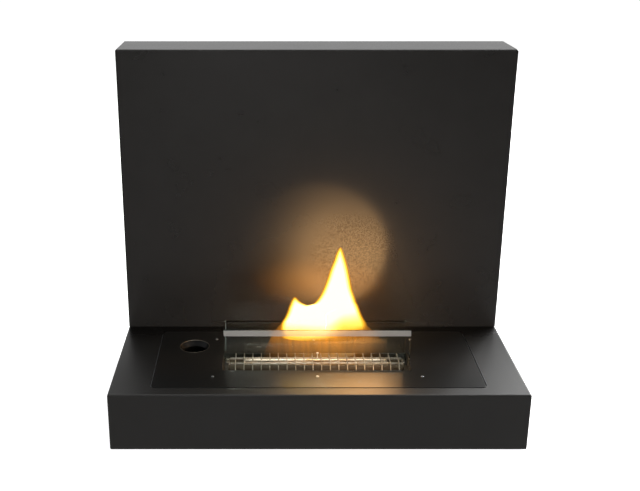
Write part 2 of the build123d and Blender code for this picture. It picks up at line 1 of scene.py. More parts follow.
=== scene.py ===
# %% [markdown]
# # Dressing a bioethanol fireplace
#
# The fireplace arrives here as CAD: every sheet, screw, wire and pane is a node of its own, at its true
# size. This script gives those nodes their surfaces, adds what a solid model leaves out, above all the
# flame, and sets up the floor, the light and the camera. Everything is in metres in the CAD's own frame:
# +Z is up, -Y is the side that faces the viewer, and the floor is at Z = 0.

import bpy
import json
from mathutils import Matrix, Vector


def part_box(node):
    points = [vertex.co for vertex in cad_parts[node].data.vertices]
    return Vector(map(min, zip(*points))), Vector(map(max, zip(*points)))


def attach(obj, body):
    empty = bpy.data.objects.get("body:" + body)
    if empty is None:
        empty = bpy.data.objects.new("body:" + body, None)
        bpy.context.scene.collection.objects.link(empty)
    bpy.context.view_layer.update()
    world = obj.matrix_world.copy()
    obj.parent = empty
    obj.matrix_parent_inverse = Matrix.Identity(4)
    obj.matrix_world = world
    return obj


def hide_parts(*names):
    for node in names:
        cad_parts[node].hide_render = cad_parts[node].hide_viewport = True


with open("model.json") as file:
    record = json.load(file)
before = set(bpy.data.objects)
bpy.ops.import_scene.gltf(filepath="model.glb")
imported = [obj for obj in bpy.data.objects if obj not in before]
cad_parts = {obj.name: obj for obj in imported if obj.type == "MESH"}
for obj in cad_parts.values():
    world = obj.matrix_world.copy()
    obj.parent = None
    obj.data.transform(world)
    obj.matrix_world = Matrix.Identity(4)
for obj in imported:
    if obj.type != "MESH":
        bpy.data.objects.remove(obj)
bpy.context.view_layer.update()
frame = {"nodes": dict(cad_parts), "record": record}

# %% [markdown]
# ## Places to work from
#
# No place is typed twice: where a new piece sits next to a sheet or a wire, its place is read from that
# node's box. Lengths that belong to the real object are written in millimetres and turned to metres by one
# factor, so they can be compared with a ruler.

# %% Places and the millimetre
import json
import math
import random

import bmesh
import bpy
from mathutils import Matrix, Vector, noise

MM = 0.001
casing_low, casing_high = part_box("base_shell")
plate_low, plate_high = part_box("burner_plate")
wool_low, wool_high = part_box("ceramic_wool")
collar_low, collar_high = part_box("wick_collar")
rod_low, rod_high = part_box("guard_rods")
pane_low, pane_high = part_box("front_glass")
slot_y = (collar_low.y + collar_high.y) / 2
panel_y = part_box("back_panel_shell")[0].y
print(f"plate top {plate_high.z / MM:.1f} mm, slot at y {slot_y / MM:.1f} mm")

# %% [markdown]
# ## The camera
#
# The photograph looks down on the fireplace from in front and a little to its left, yet the panel's
# verticals all meet at one point, so the camera was pitched but neither rolled nor turned, and its picture
# was cropped sideways. A sideways crop is a lens shift in Blender, which keeps that perspective. The
# distance, the pitch and the lens come from solving the vanishing points of the base and of the panel.

# %% Camera
LENS_MM = 54.08
PITCH_DOWN = 19.45
SIDE_SHIFT = 0.0828
CAMERA_PLACE = Vector((-0.0739, -1.370, 0.7406))

camera_data = bpy.data.cameras.new("product_camera")
camera_data.lens = LENS_MM
camera_data.shift_x = SIDE_SHIFT
camera = bpy.data.objects.new("product_camera", camera_data)
camera.location = CAMERA_PLACE
camera.rotation_euler = (math.radians(90 - PITCH_DOWN), 0, 0)
bpy.context.scene.collection.objects.link(camera)
bpy.context.scene.camera = camera
print("camera is", round(CAMERA_PLACE.length, 2), "m from the middle of the base")

# %% [markdown]
# ## Four helpers for materials
#
# Colours are easiest to judge as the hex values of a paint chart, but shaders count in linear light, so
# one function turns the first into the second. A second one adds a node, sets it and links it in a single
# call, which keeps a node tree readable as a list. The third starts a material on its main shader, and the
# last turns the real size of a grain or a patch into the scale of its pattern.

# %% Colour, node and material helpers
def linear(hex_colour):
    """The linear RGBA of an sRGB colour written as #rrggbb."""
    channels = [int(hex_colour[start:start + 2], 16) / 255 for start in (1, 3, 5)]
    return [c / 12.92 if c <= 0.04045 else ((c + 0.055) / 1.055) ** 2.4 for c in channels] + [1.0]


def add_node(tree, kind, inputs=None, **settings):
    """Add a node. An output given for an input is linked to it; anything else is the input's value."""
    made = tree.nodes.new(kind)
    for key, value in settings.items():
        setattr(made, key, value)
    for key, value in (inputs or {}).items():
        if isinstance(value, bpy.types.NodeSocket):
            tree.links.new(value, made.inputs[key])
        else:
            made.inputs[key].default_value = value
    return made


def start_material(name, **sockets):
    """A material with its Principled shader's own sockets set; underscores stand for spaces."""
    material = bpy.data.materials.new(name)
    material.use_nodes = True
    shader = material.node_tree.nodes["Principled BSDF"]
    for key, value in sockets.items():
        shader.inputs[key.replace("_", " ")].default_value = value
    return material, material.node_tree, shader


def per_mm(size):
    """The scale that makes a texture's features about this many millimetres wide."""
    return 1 / (size * MM)


print("#1f1e1d is", round(linear("#1f1e1d")[0], 4), "in linear light")

# %% [markdown]
# ## Powder coat on the casing
#
# The base and the panel are folded from 2 mm steel and sprayed with a satin black polyester powder, which
# melts in the oven into one even skin. Its gloss wanders a little where the film is thicker, and it has the
# faint orange peel of its grains. The grains are about 0.3 mm, and they are drawn five times as coarse, so
# that they still show at the size of this picture.
#
# One loop makes two versions of it. The panel stays smooth, but its foot behind the fire is turned a dark
# brown: partly a heat tint, partly painted shade. Where the flame's tip is nearest the film has crazed down
# to bright specks, also drawn coarser than they are. The base has been rubbed dull by wiping, except along
# its joint with the panel, where it stays smooth; there its colour is darkened towards the joint as painted
# shade.
# Each mask is a distance, to the joint or to the hot spot. Painted maps could do the same, but a distance
# needs no picture and goes with the sheet when its size changes.

# %% Satin black powder coat
POWDER_GRAIN = 1.5
CRAZED_SPECK = 2.2
POWDER_FILM = 45.0
RUBBED_FROM = 20.0
RUBBED_TO = 200.0
HOT_SPOT_X = 62.0
HOT_SPOT_Z = 216.0
CRAZED_EDGE = 86.0
CRAZED_FULL = 40.0

# Name, roughness at the joint and far from it, tone near the joint, how much a step along X, Y or Z counts
# as distance from the joint, and where that tone starts and is full, in mm. The tone near the joint is
# painted shade, on the panel also a heat tint. On the panel Y counts three times, which keeps the rear cover
# free of it. On the base X doesn't count, so the painted shade follows the whole joint.
powder_wear_and_painted_shade = (
    ("polyester_powder_coat_satin_black", 0.19, 0.2, "#150d05", (1, 3, 1), (180, 90)),
    ("polyester_powder_coat_worn_satin_black_painted_joint_shade", 0.24, 0.42, "#0a0908", (0, 1, 1), (80, 8)),
)
powder_finishes = {}
for finish_name, smooth, dull, heat_and_painted_shade_tone, weights, reach in powder_wear_and_painted_shade:
    powder, tree, shader = start_material(finish_name, Specular_IOR_Level=0.5)
    place = add_node(tree, "ShaderNodeTexCoord").outputs["Object"]
    film = add_node(tree, "ShaderNodeTexNoise", {
        "Vector": place, "Scale": per_mm(POWDER_FILM), "Detail": 3.0})
    grain = add_node(tree, "ShaderNodeTexNoise", {
        "Vector": place, "Scale": per_mm(POWDER_GRAIN), "Detail": 2.0})
    tone = add_node(tree, "ShaderNodeMix", {
        "Factor": film.outputs["Fac"], "A": linear("#1f1e1d"), "B": linear("#232221")}, data_type="RGBA")
    weighed = add_node(tree, "ShaderNodeVectorMath", {0: place, 1: weights}, operation="MULTIPLY")
    from_joint = add_node(tree, "ShaderNodeVectorMath", {
        0: weighed.outputs["Vector"], 1: (0, weights[1] * panel_y, casing_high.z)}, operation="DISTANCE")
    # Towards the joint the colour darkens: painted shade, and on the panel also a heat tint.
    heat_and_painted_shade_mask = add_node(tree, "ShaderNodeMapRange", {
        "Value": from_joint.outputs["Value"], "From Min": reach[0] * MM, "From Max": reach[1] * MM},
        interpolation_type="SMOOTHSTEP")
    tone_with_heat_and_painted_shade = add_node(tree, "ShaderNodeMix", {
        "Factor": heat_and_painted_shade_mask.outputs["Result"], "A": tone.outputs[2], "B": linear(heat_and_painted_shade_tone)},
        data_type="RGBA")
    tree.links.new(tone_with_heat_and_painted_shade.outputs[2], shader.inputs["Base Color"])
    rubbed = add_node(tree, "ShaderNodeMapRange", {
        "Value": from_joint.outputs["Value"], "From Min": RUBBED_FROM * MM, "From Max": RUBBED_TO * MM,
        "To Min": smooth, "To Max": dull})
    gloss = add_node(tree, "ShaderNodeMath", {
        0: film.outputs["Fac"], 1: 0.04, 2: rubbed.outputs["Result"]}, operation="MULTIPLY_ADD")
    tree.links.new(gloss.outputs[0], shader.inputs["Roughness"])
    from_heat = add_node(tree, "ShaderNodeVectorMath", {
        0: place, 1: (HOT_SPOT_X * MM, panel_y, HOT_SPOT_Z * MM)}, operation="DISTANCE")
    crazed = add_node(tree, "ShaderNodeMapRange", {
        "Value": from_heat.outputs["Value"], "From Min": CRAZED_EDGE * MM, "From Max": CRAZED_FULL * MM},
        interpolation_type="SMOOTHSTEP")
    specks = add_node(tree, "ShaderNodeTexNoise", {
        "Vector": place, "Scale": per_mm(CRAZED_SPECK), "Detail": 2.0})
    speck = add_node(tree, "ShaderNodeMapRange", {
        "Value": specks.outputs["Fac"], "From Min": 0.42, "From Max": 0.62, "To Max": 0.55})
    bare = add_node(tree, "ShaderNodeMath", {
        0: crazed.outputs["Result"], 1: speck.outputs["Result"]}, operation="MULTIPLY")
    tree.links.new(bare.outputs[0], shader.inputs["Metallic"])
    peel = add_node(tree, "ShaderNodeBump", {
        "Height": grain.outputs["Fac"], "Strength": 0.5, "Distance": 0.1 * MM})
    tree.links.new(peel.outputs["Normal"], shader.inputs["Normal"])
    powder_finishes[finish_name] = powder
powder_coat = powder_finishes["polyester_powder_coat_satin_black"]
worn_powder_coat_with_painted_shade = powder_finishes["polyester_powder_coat_worn_satin_black_painted_joint_shade"]
print(sorted(powder_finishes), "grain", POWDER_GRAIN, "mm")

# %% [markdown]
# ## Stove enamel on the burner
#
# Powder would scorch this near the fire, so the burner's plate, tray and slot box carry a silicone stove
# enamel, brushed or sprayed thin and baked at 200 degrees. It is deader and a shade darker than the casing.
# Near the slot, soot and heat have turned it slightly brown and dull: a mask that fades with the distance
# from the slot mixes that in, broken up by a noise so that it has no clean edge. Right beside the slot, and
# only below the plate's face, a second and sharper mask turns it a light brown grey: partly heat-baked
# enamel, partly painted light where the fire lights the trough.

# %% Heat-proof black enamel
ENAMEL_GRAIN = 1.8
SOOT_CLOUD = 28.0
SCORCH_REACH = 70.0
# Reach and edge of the light brown grey beside the slot, partly heat-baked and partly painted light.
BAKED_AND_LIT_REACH = 15.0
BAKED_AND_LIT_EDGE = 4.0
BELOW_FACE = 0.9

stove_enamel, tree, shader = start_material("silicone_stove_enamel_black", Specular_IOR_Level=0.5)
place = add_node(tree, "ShaderNodeTexCoord").outputs["Object"]
grain = add_node(tree, "ShaderNodeTexNoise", {"Vector": place, "Scale": per_mm(ENAMEL_GRAIN), "Detail": 2.0})
cloud = add_node(tree, "ShaderNodeTexNoise", {"Vector": place, "Scale": per_mm(SOOT_CLOUD), "Detail": 4.0})
parts = add_node(tree, "ShaderNodeSeparateXYZ", {"Vector": place})
across = add_node(tree, "ShaderNodeMath", {0: parts.outputs["Y"], 1: slot_y}, operation="SUBTRACT")
from_slot = add_node(tree, "ShaderNodeMath", {0: across.outputs[0]}, operation="ABSOLUTE")
near = add_node(tree, "ShaderNodeMapRange", {
    "Value": from_slot.outputs[0], "From Min": SCORCH_REACH * MM, "From Max": BAKED_AND_LIT_REACH * MM})
scorch = add_node(tree, "ShaderNodeMath", {
    0: near.outputs["Result"], 1: cloud.outputs["Fac"]}, operation="MULTIPLY")
tone = add_node(tree, "ShaderNodeMix", {
    "Factor": scorch.outputs[0], "A": linear("#181818"), "B": linear("#1f1b17")}, data_type="RGBA")
# Beside the slot and below the plate's face: a light brown grey, partly heat-baked, partly painted light from
# the fire.
beside = add_node(tree, "ShaderNodeMapRange", {
    "Value": from_slot.outputs[0], "From Min": BAKED_AND_LIT_REACH * MM, "From Max": (BAKED_AND_LIT_REACH - BAKED_AND_LIT_EDGE) * MM})
sunk = add_node(tree, "ShaderNodeMath", {
    0: parts.outputs["Z"], 1: plate_high.z - BELOW_FACE * MM}, operation="LESS_THAN")
baked_and_painted_light = add_node(tree, "ShaderNodeMath", {
    0: beside.outputs["Result"], 1: sunk.outputs[0]}, operation="MULTIPLY")
tone_with_painted_light = add_node(tree, "ShaderNodeMix", {
    "Factor": baked_and_painted_light.outputs[0], "A": tone.outputs[2], "B": linear("#50463a")}, data_type="RGBA")
tree.links.new(tone_with_painted_light.outputs[2], shader.inputs["Base Color"])
gloss = add_node(tree, "ShaderNodeMapRange", {"Value": scorch.outputs[0], "To Min": 0.3, "To Max": 0.36})
tree.links.new(gloss.outputs["Result"], shader.inputs["Roughness"])
skin = add_node(tree, "ShaderNodeBump", {
    "Height": grain.outputs["Fac"], "Strength": 0.3, "Distance": 0.08 * MM})
tree.links.new(skin.outputs["Normal"], shader.inputs["Normal"])
print(stove_enamel.name, "scorched within", SCORCH_REACH, "mm of the slot")

# %% [markdown]
# ## Bright stainless sheet
#
# The wick's collar, the glass channels and the tank are folded from bright rolled stainless. Rolling
# leaves fine lines along the sheet, here along X, so the noise that drives the roughness is stretched forty
# times along that axis. Heat draws straw and bronze tints on the collar, as thin oxide does on any
# stainless that gets past 300 degrees.

# %% Rolled stainless with heat tint
ROLLED_LINE = 0.6
TINT_CLOUD = 22.0

stainless, tree, shader = start_material("bright_rolled_stainless", Metallic=1.0)
place = add_node(tree, "ShaderNodeTexCoord").outputs["Object"]
stretched = add_node(tree, "ShaderNodeMapping", {"Vector": place, "Scale": (1 / 40, 1.0, 1.0)})
lines = add_node(tree, "ShaderNodeTexNoise", {"Vector": stretched.outputs["Vector"],
                                              "Scale": per_mm(ROLLED_LINE), "Detail": 2.0})
cloud = add_node(tree, "ShaderNodeTexNoise", {"Vector": place, "Scale": per_mm(TINT_CLOUD), "Detail": 3.0})
tint = add_node(tree, "ShaderNodeMapRange", {
    "Value": cloud.outputs["Fac"], "From Min": 0.45, "From Max": 0.8})
tone = add_node(tree, "ShaderNodeMix", {"Factor": tint.outputs["Result"], "A": linear("#d3cfc8"),
                                        "B": linear("#c2a06c")}, data_type="RGBA")
tree.links.new(tone.outputs[2], shader.inputs["Base Color"])
gloss = add_node(tree, "ShaderNodeMapRange", {"Value": lines.outputs["Fac"], "To Min": 0.2, "To Max": 0.36})
tree.links.new(gloss.outputs["Result"], shader.inputs["Roughness"])
print(stainless.name, "tint patches", TINT_CLOUD, "mm")

# %% [markdown]
# ## Drawn wire
#
# Stainless wire is pulled through a die, which leaves it round, bright and smooth, and heat gives it patches
# of straw tint. The knob is out of the flame and stays bright. The guard's wires and rods stand in it and
# carry a film of soot: darker, and a fifth less metallic, because soot is no metal. One loop makes both, so
# that they differ in those values alone.

# %% Bright and sooted drawn wire
WIRE_CLOUD = 9.0

wire_finishes = {}
for finish_name, clean, tinted, metal in (("bright_drawn_stainless_wire", "#d6d2ca", "#b79a70", 1.0),
                                          ("sooted_drawn_stainless_wire", "#8a857c", "#7a6850", 0.8)):
    drawn, tree, shader = start_material(finish_name, Metallic=metal)
    place = add_node(tree, "ShaderNodeTexCoord").outputs["Object"]
    cloud = add_node(tree, "ShaderNodeTexNoise", {
        "Vector": place, "Scale": per_mm(WIRE_CLOUD), "Detail": 2.0})
    tint = add_node(tree, "ShaderNodeMapRange", {
        "Value": cloud.outputs["Fac"], "From Min": 0.5, "From Max": 0.75})
    tone = add_node(tree, "ShaderNodeMix", {
        "Factor": tint.outputs["Result"], "A": linear(clean), "B": linear(tinted)}, data_type="RGBA")
    tree.links.new(tone.outputs[2], shader.inputs["Base Color"])
    gloss = add_node(tree, "ShaderNodeMapRange", {
        "Value": cloud.outputs["Fac"], "To Min": 0.22, "To Max": 0.4})
    tree.links.new(gloss.outputs["Result"], shader.inputs["Roughness"])
    wire_finishes[finish_name] = drawn
drawn_wire = wire_finishes["bright_drawn_stainless_wire"]
sooted_wire = wire_finishes["sooted_drawn_stainless_wire"]
print(sorted(wire_finishes))

# %% [markdown]
# ## Blued steel round the fuel
#
# The filler's dish, neck and strainer are blued: the steel is oxidised in a hot salt bath and oiled, which
# leaves it almost black. Fuel that ran down has left it glossier in streaks, so a noise stretched along Z
# drives the roughness.

# %% Blued steel
FUEL_STREAK = 5.0

blued_steel, tree, shader = start_material("oiled_blued_steel", Specular_IOR_Level=0.5)
place = add_node(tree, "ShaderNodeTexCoord").outputs["Object"]
run_down = add_node(tree, "ShaderNodeMapping", {"Vector": place, "Scale": (1.0, 1.0, 0.25)})
streaks = add_node(tree, "ShaderNodeTexNoise", {
    "Vector": run_down.outputs["Vector"], "Scale": per_mm(FUEL_STREAK), "Detail": 3.0})
tone = add_node(tree, "ShaderNodeMix", {
    "Factor": streaks.outputs["Fac"], "A": linear("#070707"), "B": linear("#0f0f11")}, data_type="RGBA")
tree.links.new(tone.outputs[2], shader.inputs["Base Color"])
gloss = add_node(tree, "ShaderNodeMapRange", {
    "Value": streaks.outputs["Fac"], "To Min": 0.22, "To Max": 0.45})
tree.links.new(gloss.outputs["Result"], shader.inputs["Roughness"])
print(blued_steel.name, "streaks", FUEL_STREAK, "mm apart")

# %% [markdown]
# ## Zinc-plated steel
#
# Screws, nuts, bolts, rails and stiffeners are electroplated with zinc: a cool, slightly cloudy metal.
# Small crystals in the plating give it patches that differ in gloss, which a Voronoi pattern draws as cells.

# %% Zinc plating
CRYSTAL_WIDTH = 1.2

zinc, tree, shader = start_material("zinc_plated_steel", Metallic=1.0)
place = add_node(tree, "ShaderNodeTexCoord").outputs["Object"]
crystals = add_node(tree, "ShaderNodeTexVoronoi", {"Vector": place, "Scale": per_mm(CRYSTAL_WIDTH)})
cell = add_node(tree, "ShaderNodeSeparateColor", {"Color": crystals.outputs["Color"]})
tone = add_node(tree, "ShaderNodeMix", {"Factor": cell.outputs[0], "A": linear("#bfc3c8"),
                                        "B": linear("#cfd1d2")}, data_type="RGBA")
tree.links.new(tone.outputs[2], shader.inputs["Base Color"])
gloss = add_node(tree, "ShaderNodeMapRange", {"Value": cell.outputs[1], "To Min": 0.28, "To Max": 0.42})
tree.links.new(gloss.outputs["Result"], shader.inputs["Roughness"])
print(zinc.name, "crystals", CRYSTAL_WIDTH, "mm")

# %% [markdown]
# ## Moulded rubber and ceramic wool
#
# The feet are moulded nitrile rubber: matt, dark, with the fine pitting of the mould. The wick is a
# felted board of ceramic fibre. New, it is off-white; after a few fires it is grey with soot and only its
# loose fibres still catch the light, so a long thin noise draws fibres and a coarse one draws the soot.

# %% Rubber
MOULD_PIT = 0.8

rubber, tree, shader = start_material("moulded_nitrile_rubber", Roughness=0.8, Specular_IOR_Level=0.4)
place = add_node(tree, "ShaderNodeTexCoord").outputs["Object"]
pits = add_node(tree, "ShaderNodeTexNoise", {"Vector": place, "Scale": per_mm(MOULD_PIT), "Detail": 3.0})
tone = add_node(tree, "ShaderNodeMix", {
    "Factor": pits.outputs["Fac"], "A": linear("#171717"), "B": linear("#232323")}, data_type="RGBA")
tree.links.new(tone.outputs[2], shader.inputs["Base Color"])
pitted = add_node(tree, "ShaderNodeBump", {
    "Height": pits.outputs["Fac"], "Strength": 0.5, "Distance": 0.1 * MM})
tree.links.new(pitted.outputs["Normal"], shader.inputs["Normal"])
print(rubber.name, "pits", MOULD_PIT, "mm")

# %% Ceramic-fibre wool
FIBRE_WIDTH = 0.5
SOOT_PATCH = 12.0

ceramic_wool, tree, shader = start_material("felted_ceramic_fibre", Roughness=0.95, Specular_IOR_Level=0.2)
place = add_node(tree, "ShaderNodeTexCoord").outputs["Object"]
combed = add_node(tree, "ShaderNodeMapping", {
    "Vector": place, "Scale": (1 / 9, 1.0, 1.0), "Rotation": (0, 0, math.radians(25))})
fibres = add_node(tree, "ShaderNodeTexNoise", {
    "Vector": combed.outputs["Vector"], "Scale": per_mm(FIBRE_WIDTH), "Detail": 3.0, "Distortion": 0.6})
soot = add_node(tree, "ShaderNodeTexNoise", {"Vector": place, "Scale": per_mm(SOOT_PATCH), "Detail": 4.0})
shade = add_node(tree, "ShaderNodeMath", {0: fibres.outputs["Fac"], 1: soot.outputs["Fac"]},
                 operation="MULTIPLY")
grey = add_node(tree, "ShaderNodeMapRange", {
    "Value": shade.outputs[0], "From Min": 0.12, "From Max": 0.42})
tone = add_node(tree, "ShaderNodeMix", {
    "Factor": grey.outputs["Result"], "A": linear("#3c3833"), "B": linear("#8d867b")}, data_type="RGBA")
tree.links.new(tone.outputs[2], shader.inputs["Base Color"])
felt = add_node(tree, "ShaderNodeBump", {
    "Height": fibres.outputs["Fac"], "Strength": 0.8, "Distance": 0.6 * MM})
tree.links.new(felt.outputs["Normal"], shader.inputs["Normal"])
print(ceramic_wool.name, "fibres", FIBRE_WIDTH, "mm")

# %% [markdown]
# ## Toughened glass
#
# The panes are 6 mm float glass, cut, ground and toughened. Float glass is all but clear face-on and a
# watery green along its length, which a faint absorption inside the solid gives by itself. The front
# pane's sloping top has been ground and only half polished, so it is a pale grey stripe that scatters
# light: a mask on the slope of the surface turns exactly that facet from clear to frosted. Blender's
# lamps don't shine through clear glass, so for shadow rays the glass is simply transparent.
#
# Glass has an IOR of about 1.5, and the rear pane keeps it. The front pane mirrors much less in the
# photograph than that gives here, where a whole white room surrounds it, so its IOR is lowered to match.

# %% Float glass with a ground bevel
FRONT_IOR = 1.25
REAR_IOR = 1.5
BEVEL_SLOPE = 0.43
SLOPE_TOLERANCE = 0.08
FACES_VIEWER = -0.6

float_glass, tree, shader = start_material("toughened_float_glass", Base_Color=linear("#fafdfb"),
                                           IOR=FRONT_IOR, Transmission_Weight=1.0, Roughness=0.0)
surface = tree.nodes["Material Output"]
slope = add_node(tree, "ShaderNodeSeparateXYZ", {
    "Vector": add_node(tree, "ShaderNodeNewGeometry").outputs["Normal"]})
tilted = add_node(tree, "ShaderNodeMath", {
    0: slope.outputs["Z"], 1: BEVEL_SLOPE, 2: SLOPE_TOLERANCE}, operation="COMPARE")
facing = add_node(tree, "ShaderNodeMath", {
    0: slope.outputs["Y"], 1: FACES_VIEWER}, operation="LESS_THAN")
bevel = add_node(tree, "ShaderNodeMath", {0: tilted.outputs[0], 1: facing.outputs[0]}, operation="MULTIPLY")
ground = add_node(tree, "ShaderNodeBsdfPrincipled", {
    "Base Color": linear("#cfc9c2"), "Roughness": 0.45, "Transmission Weight": 0.75, "IOR": REAR_IOR})
facet = add_node(tree, "ShaderNodeMixShader", {0: bevel.outputs[0], 1: shader.outputs[0],
                                               2: ground.outputs[0]})
lamp_way = add_node(tree, "ShaderNodeLightPath")
clear = add_node(tree, "ShaderNodeBsdfTransparent", {"Color": linear("#eef6f2")})
glass = add_node(tree, "ShaderNodeMixShader", {0: lamp_way.outputs["Is Shadow Ray"], 1: facet.outputs[0],
                                               2: clear.outputs[0]})
tree.links.new(glass.outputs[0], surface.inputs["Surface"])
depth_tint = add_node(tree, "ShaderNodeVolumeAbsorption", {"Color": linear("#b9dcc9"), "Density": 2.5})
tree.links.new(depth_tint.outputs[0], surface.inputs["Volume"])
rear_float_glass = float_glass.copy()
rear_float_glass.name = "toughened_float_glass_rear"
rear_float_glass.node_tree.nodes["Principled BSDF"].inputs["IOR"].default_value = REAR_IOR
print(float_glass.name, FRONT_IOR, rear_float_glass.name, REAR_IOR)

# %% [markdown]
# ## The finish goes onto the CAD nodes
#
# The record says which finish each node has, by the name of a slot, so the CAD nodes are dressed in one
# loop. A second, shorter table names the few nodes whose real surface differs from the rest of their slot.

# %% Dress the CAD nodes
finishes = {
    "casing_black": powder_coat,
    "burner_black": stove_enamel,
    "stainless": stainless,
    "wire_steel": drawn_wire,
    "zinc_steel": zinc,
    "rubber": rubber,
    "ceramic_fibre": ceramic_wool,
    "clear_glass": float_glass,
}
own_finishes = {
    "base_shell": worn_powder_coat_with_painted_shade,
    "rear_glass": rear_float_glass,
    "guard_wires": sooted_wire,
    "guard_rods": sooted_wire,
    "filler_cup": blued_steel,
    "filler_neck": blued_steel,
    "filler_strainer": blued_steel,
}
for subpart in frame["record"]["subparts"]:
    finish = own_finishes.get(subpart["node"], finishes[subpart["material_slot"]])
    for material_slot in frame["nodes"][subpart["node"]].material_slots:
        material_slot.material = finish

# %% [markdown]
# ## Burning alcohol vapour
#
# A flame is hot gas that gives off light and hides almost nothing behind it. It could be a volume, but a
# volume is slow, grainy and lost in an export. Here it is a set of thin skins one inside the other. Each
# carries a number called heat: the outermost skin is a faint orange veil, the next are denser and yellower,
# and the core is solid and white-hot. Where few skins overlap, the eye sees orange; where they add up, it
# sees white, as in a real flame.
#
# Towards the burner the vapour is still cool. Two masks follow from the height there: one thins the gas to
# nothing, and one takes its heat away first, so that the foot turns yellow before it turns clear. The foot
# hangs lower on the left and is coolest on the right, where the photograph shows a yellow patch.

# %% Flame material
FADE_START = 39.5
FADE_END = 62.0
LEAN = -0.14
COOL_LEVEL = 28.0
HOT_LEVEL = 67.0
SAG_START = 8.0
SAG_END = 42.0
SAG = 17.0
FAINTEST, BRIGHTEST = 0.72, 6.5
THINNEST, DENSEST = 0.34, 0.9
flame_colours = ((0.0, "#ffa61d"), (0.3, "#ffcb3f"), (0.62, "#ffeda2"), (1.0, "#fffaf1"))

flame_gas, tree, shader = start_material("burning_ethanol_vapour", Base_Color=linear("#000000"),
                                         Roughness=1.0, Specular_IOR_Level=0.0)
place = add_node(tree, "ShaderNodeTexCoord").outputs["Object"]
parts = add_node(tree, "ShaderNodeSeparateXYZ", {"Vector": place})
skin_heat = add_node(tree, "ShaderNodeAttribute", attribute_name="gas_heat").outputs["Fac"]
leaning = add_node(tree, "ShaderNodeMath", {0: parts.outputs["X"], 1: LEAN, 2: parts.outputs["Z"]},
                   operation="MULTIPLY_ADD")
rise = add_node(tree, "ShaderNodeMapRange", {
    "Value": leaning.outputs[0], "From Min": plate_high.z + FADE_START * MM,
    "From Max": plate_high.z + FADE_END * MM}, interpolation_type="SMOOTHSTEP")
sag = add_node(tree, "ShaderNodeMapRange", {
    "Value": parts.outputs["X"], "From Min": SAG_START * MM, "From Max": SAG_END * MM, "To Max": SAG * MM},
    interpolation_type="SMOOTHSTEP")
level = add_node(tree, "ShaderNodeMath", {0: parts.outputs["Z"], 1: sag.outputs["Result"]},
                 operation="SUBTRACT")
warmth = add_node(tree, "ShaderNodeMapRange", {
    "Value": level.outputs[0], "From Min": plate_high.z + COOL_LEVEL * MM,
    "From Max": plate_high.z + HOT_LEVEL * MM})
heat = add_node(tree, "ShaderNodeMath", {0: skin_heat, 1: warmth.outputs["Result"]}, operation="MULTIPLY")
colours = add_node(tree, "ShaderNodeValToRGB", {"Fac": heat.outputs[0]})
stops = colours.color_ramp.elements
for heat_level, colour in flame_colours[1:-1]:
    stops.new(heat_level).color = linear(colour)
stops[0].color = linear(flame_colours[0][1])
stops[-1].color = linear(flame_colours[-1][1])
tree.links.new(colours.outputs["Color"], shader.inputs["Emission Color"])
light = add_node(tree, "ShaderNodeMapRange", {
    "Value": heat.outputs[0], "To Min": FAINTEST, "To Max": BRIGHTEST})
tree.links.new(light.outputs["Result"], shader.inputs["Emission Strength"])
cover = add_node(tree, "ShaderNodeMapRange", {"Value": skin_heat, "To Min": THINNEST, "To Max": DENSEST})
veil = add_node(tree, "ShaderNodeMath", {0: cover.outputs["Result"], 1: rise.outputs["Result"]},
                operation="MULTIPLY")
tree.links.new(veil.outputs[0], shader.inputs["Alpha"])
print(flame_gas.name, "clear below", FADE_START, "mm over the plate")

# %% [markdown]
# ## The flame's skins
#
# The fire in the photograph has a tall tongue on the right and a low one on the left. Each tongue is a loft:
# a few levels say how far it reaches to each side at that height, and an ellipse joins the two sides. An
# exact Boolean fuses the two tongues, so that no skin lies inside the flame. The inner skins come from the
# same levels, drawn in by a few millimetres on each side, and end lower because their tips close sooner.
# The skins cast no shadow and no reflection: lamps further down give the fire's light and its mirror image.

# %% Loft a tongue of flame
FLAME_Y = slot_y
FLAME_DEPTH = 15.0
FLAME_FLATNESS = 0.55
TIP_WIDTH = 0.4
RING_POINTS = 44
LEVEL_STEP = 1.7

# Height over the plate, left side and right side, in mm.
tall_tongue = ((40, -53, 76), (52, -53, 77), (61.5, -50, 75), (71, -42, 69.5), (81, -40, 65),
               (86, -30, 63.3), (88.5, -19.5, 62.4), (91, -9, 61.5), (97, -2, 58.5), (102, 1.5, 57),
               (108, 4.8, 55), (116, 8.2, 52.2), (132, 13.6, 48.8), (147.5, 18.0, 45.6), (163, 23.4, 41.4),
               (171, 25.6, 38.8), (177, 28.0, 36.8), (181, 30.2, 35.0), (183, 32.8, 33.0))
low_tongue = ((45, -53.5, -2), (52, -54, -2), (61.5, -53, -2), (71, -48, -3), (81, -44, -5), (88.5, -42, -8),
              (91.2, -40.8, -14), (94.4, -39.8, -20.6), (98, -38.4, -25.2), (101, -36.8, -28),
              (104, -34.8, -30.4), (106, -32.7, -32.5))


def side_at(levels, height, side):
    """How far a tongue reaches to one side at a height, on a smooth curve through its levels."""
    for number, (below, above) in enumerate(zip(levels, levels[1:])):
        if below[0] <= height <= above[0]:
            before = levels[max(number - 1, 0)]
            after = levels[min(number + 2, len(levels) - 1)]
            rise = above[0] - below[0]
            share = (height - below[0]) / rise
            start_slope = rise * (above[side] - before[side]) / (above[0] - before[0])
            end_slope = rise * (after[side] - below[side]) / (after[0] - below[0])
            bend = 3 * share ** 2 - 2 * share ** 3
            return ((1 - bend) * below[side] + bend * above[side]
                    + share * (1 - share) * ((1 - share) * start_slope - share * end_slope))
    raise ValueError(f"no level at {height}")


def join_rings(work, rings):
    """Skin a row of rings that all have the same number of points."""
    for near, far in zip(rings, rings[1:]):
        for point in range(len(near)):
            after = (point + 1) % len(near)
            work.faces.new((near[point], near[after], far[after], far[point]))


def mesh_of(work, name):
    """Turn a finished bmesh into a mesh of that name."""
    mesh = bpy.data.meshes.new(name)
    work.to_mesh(mesh)
    work.free()
    return mesh


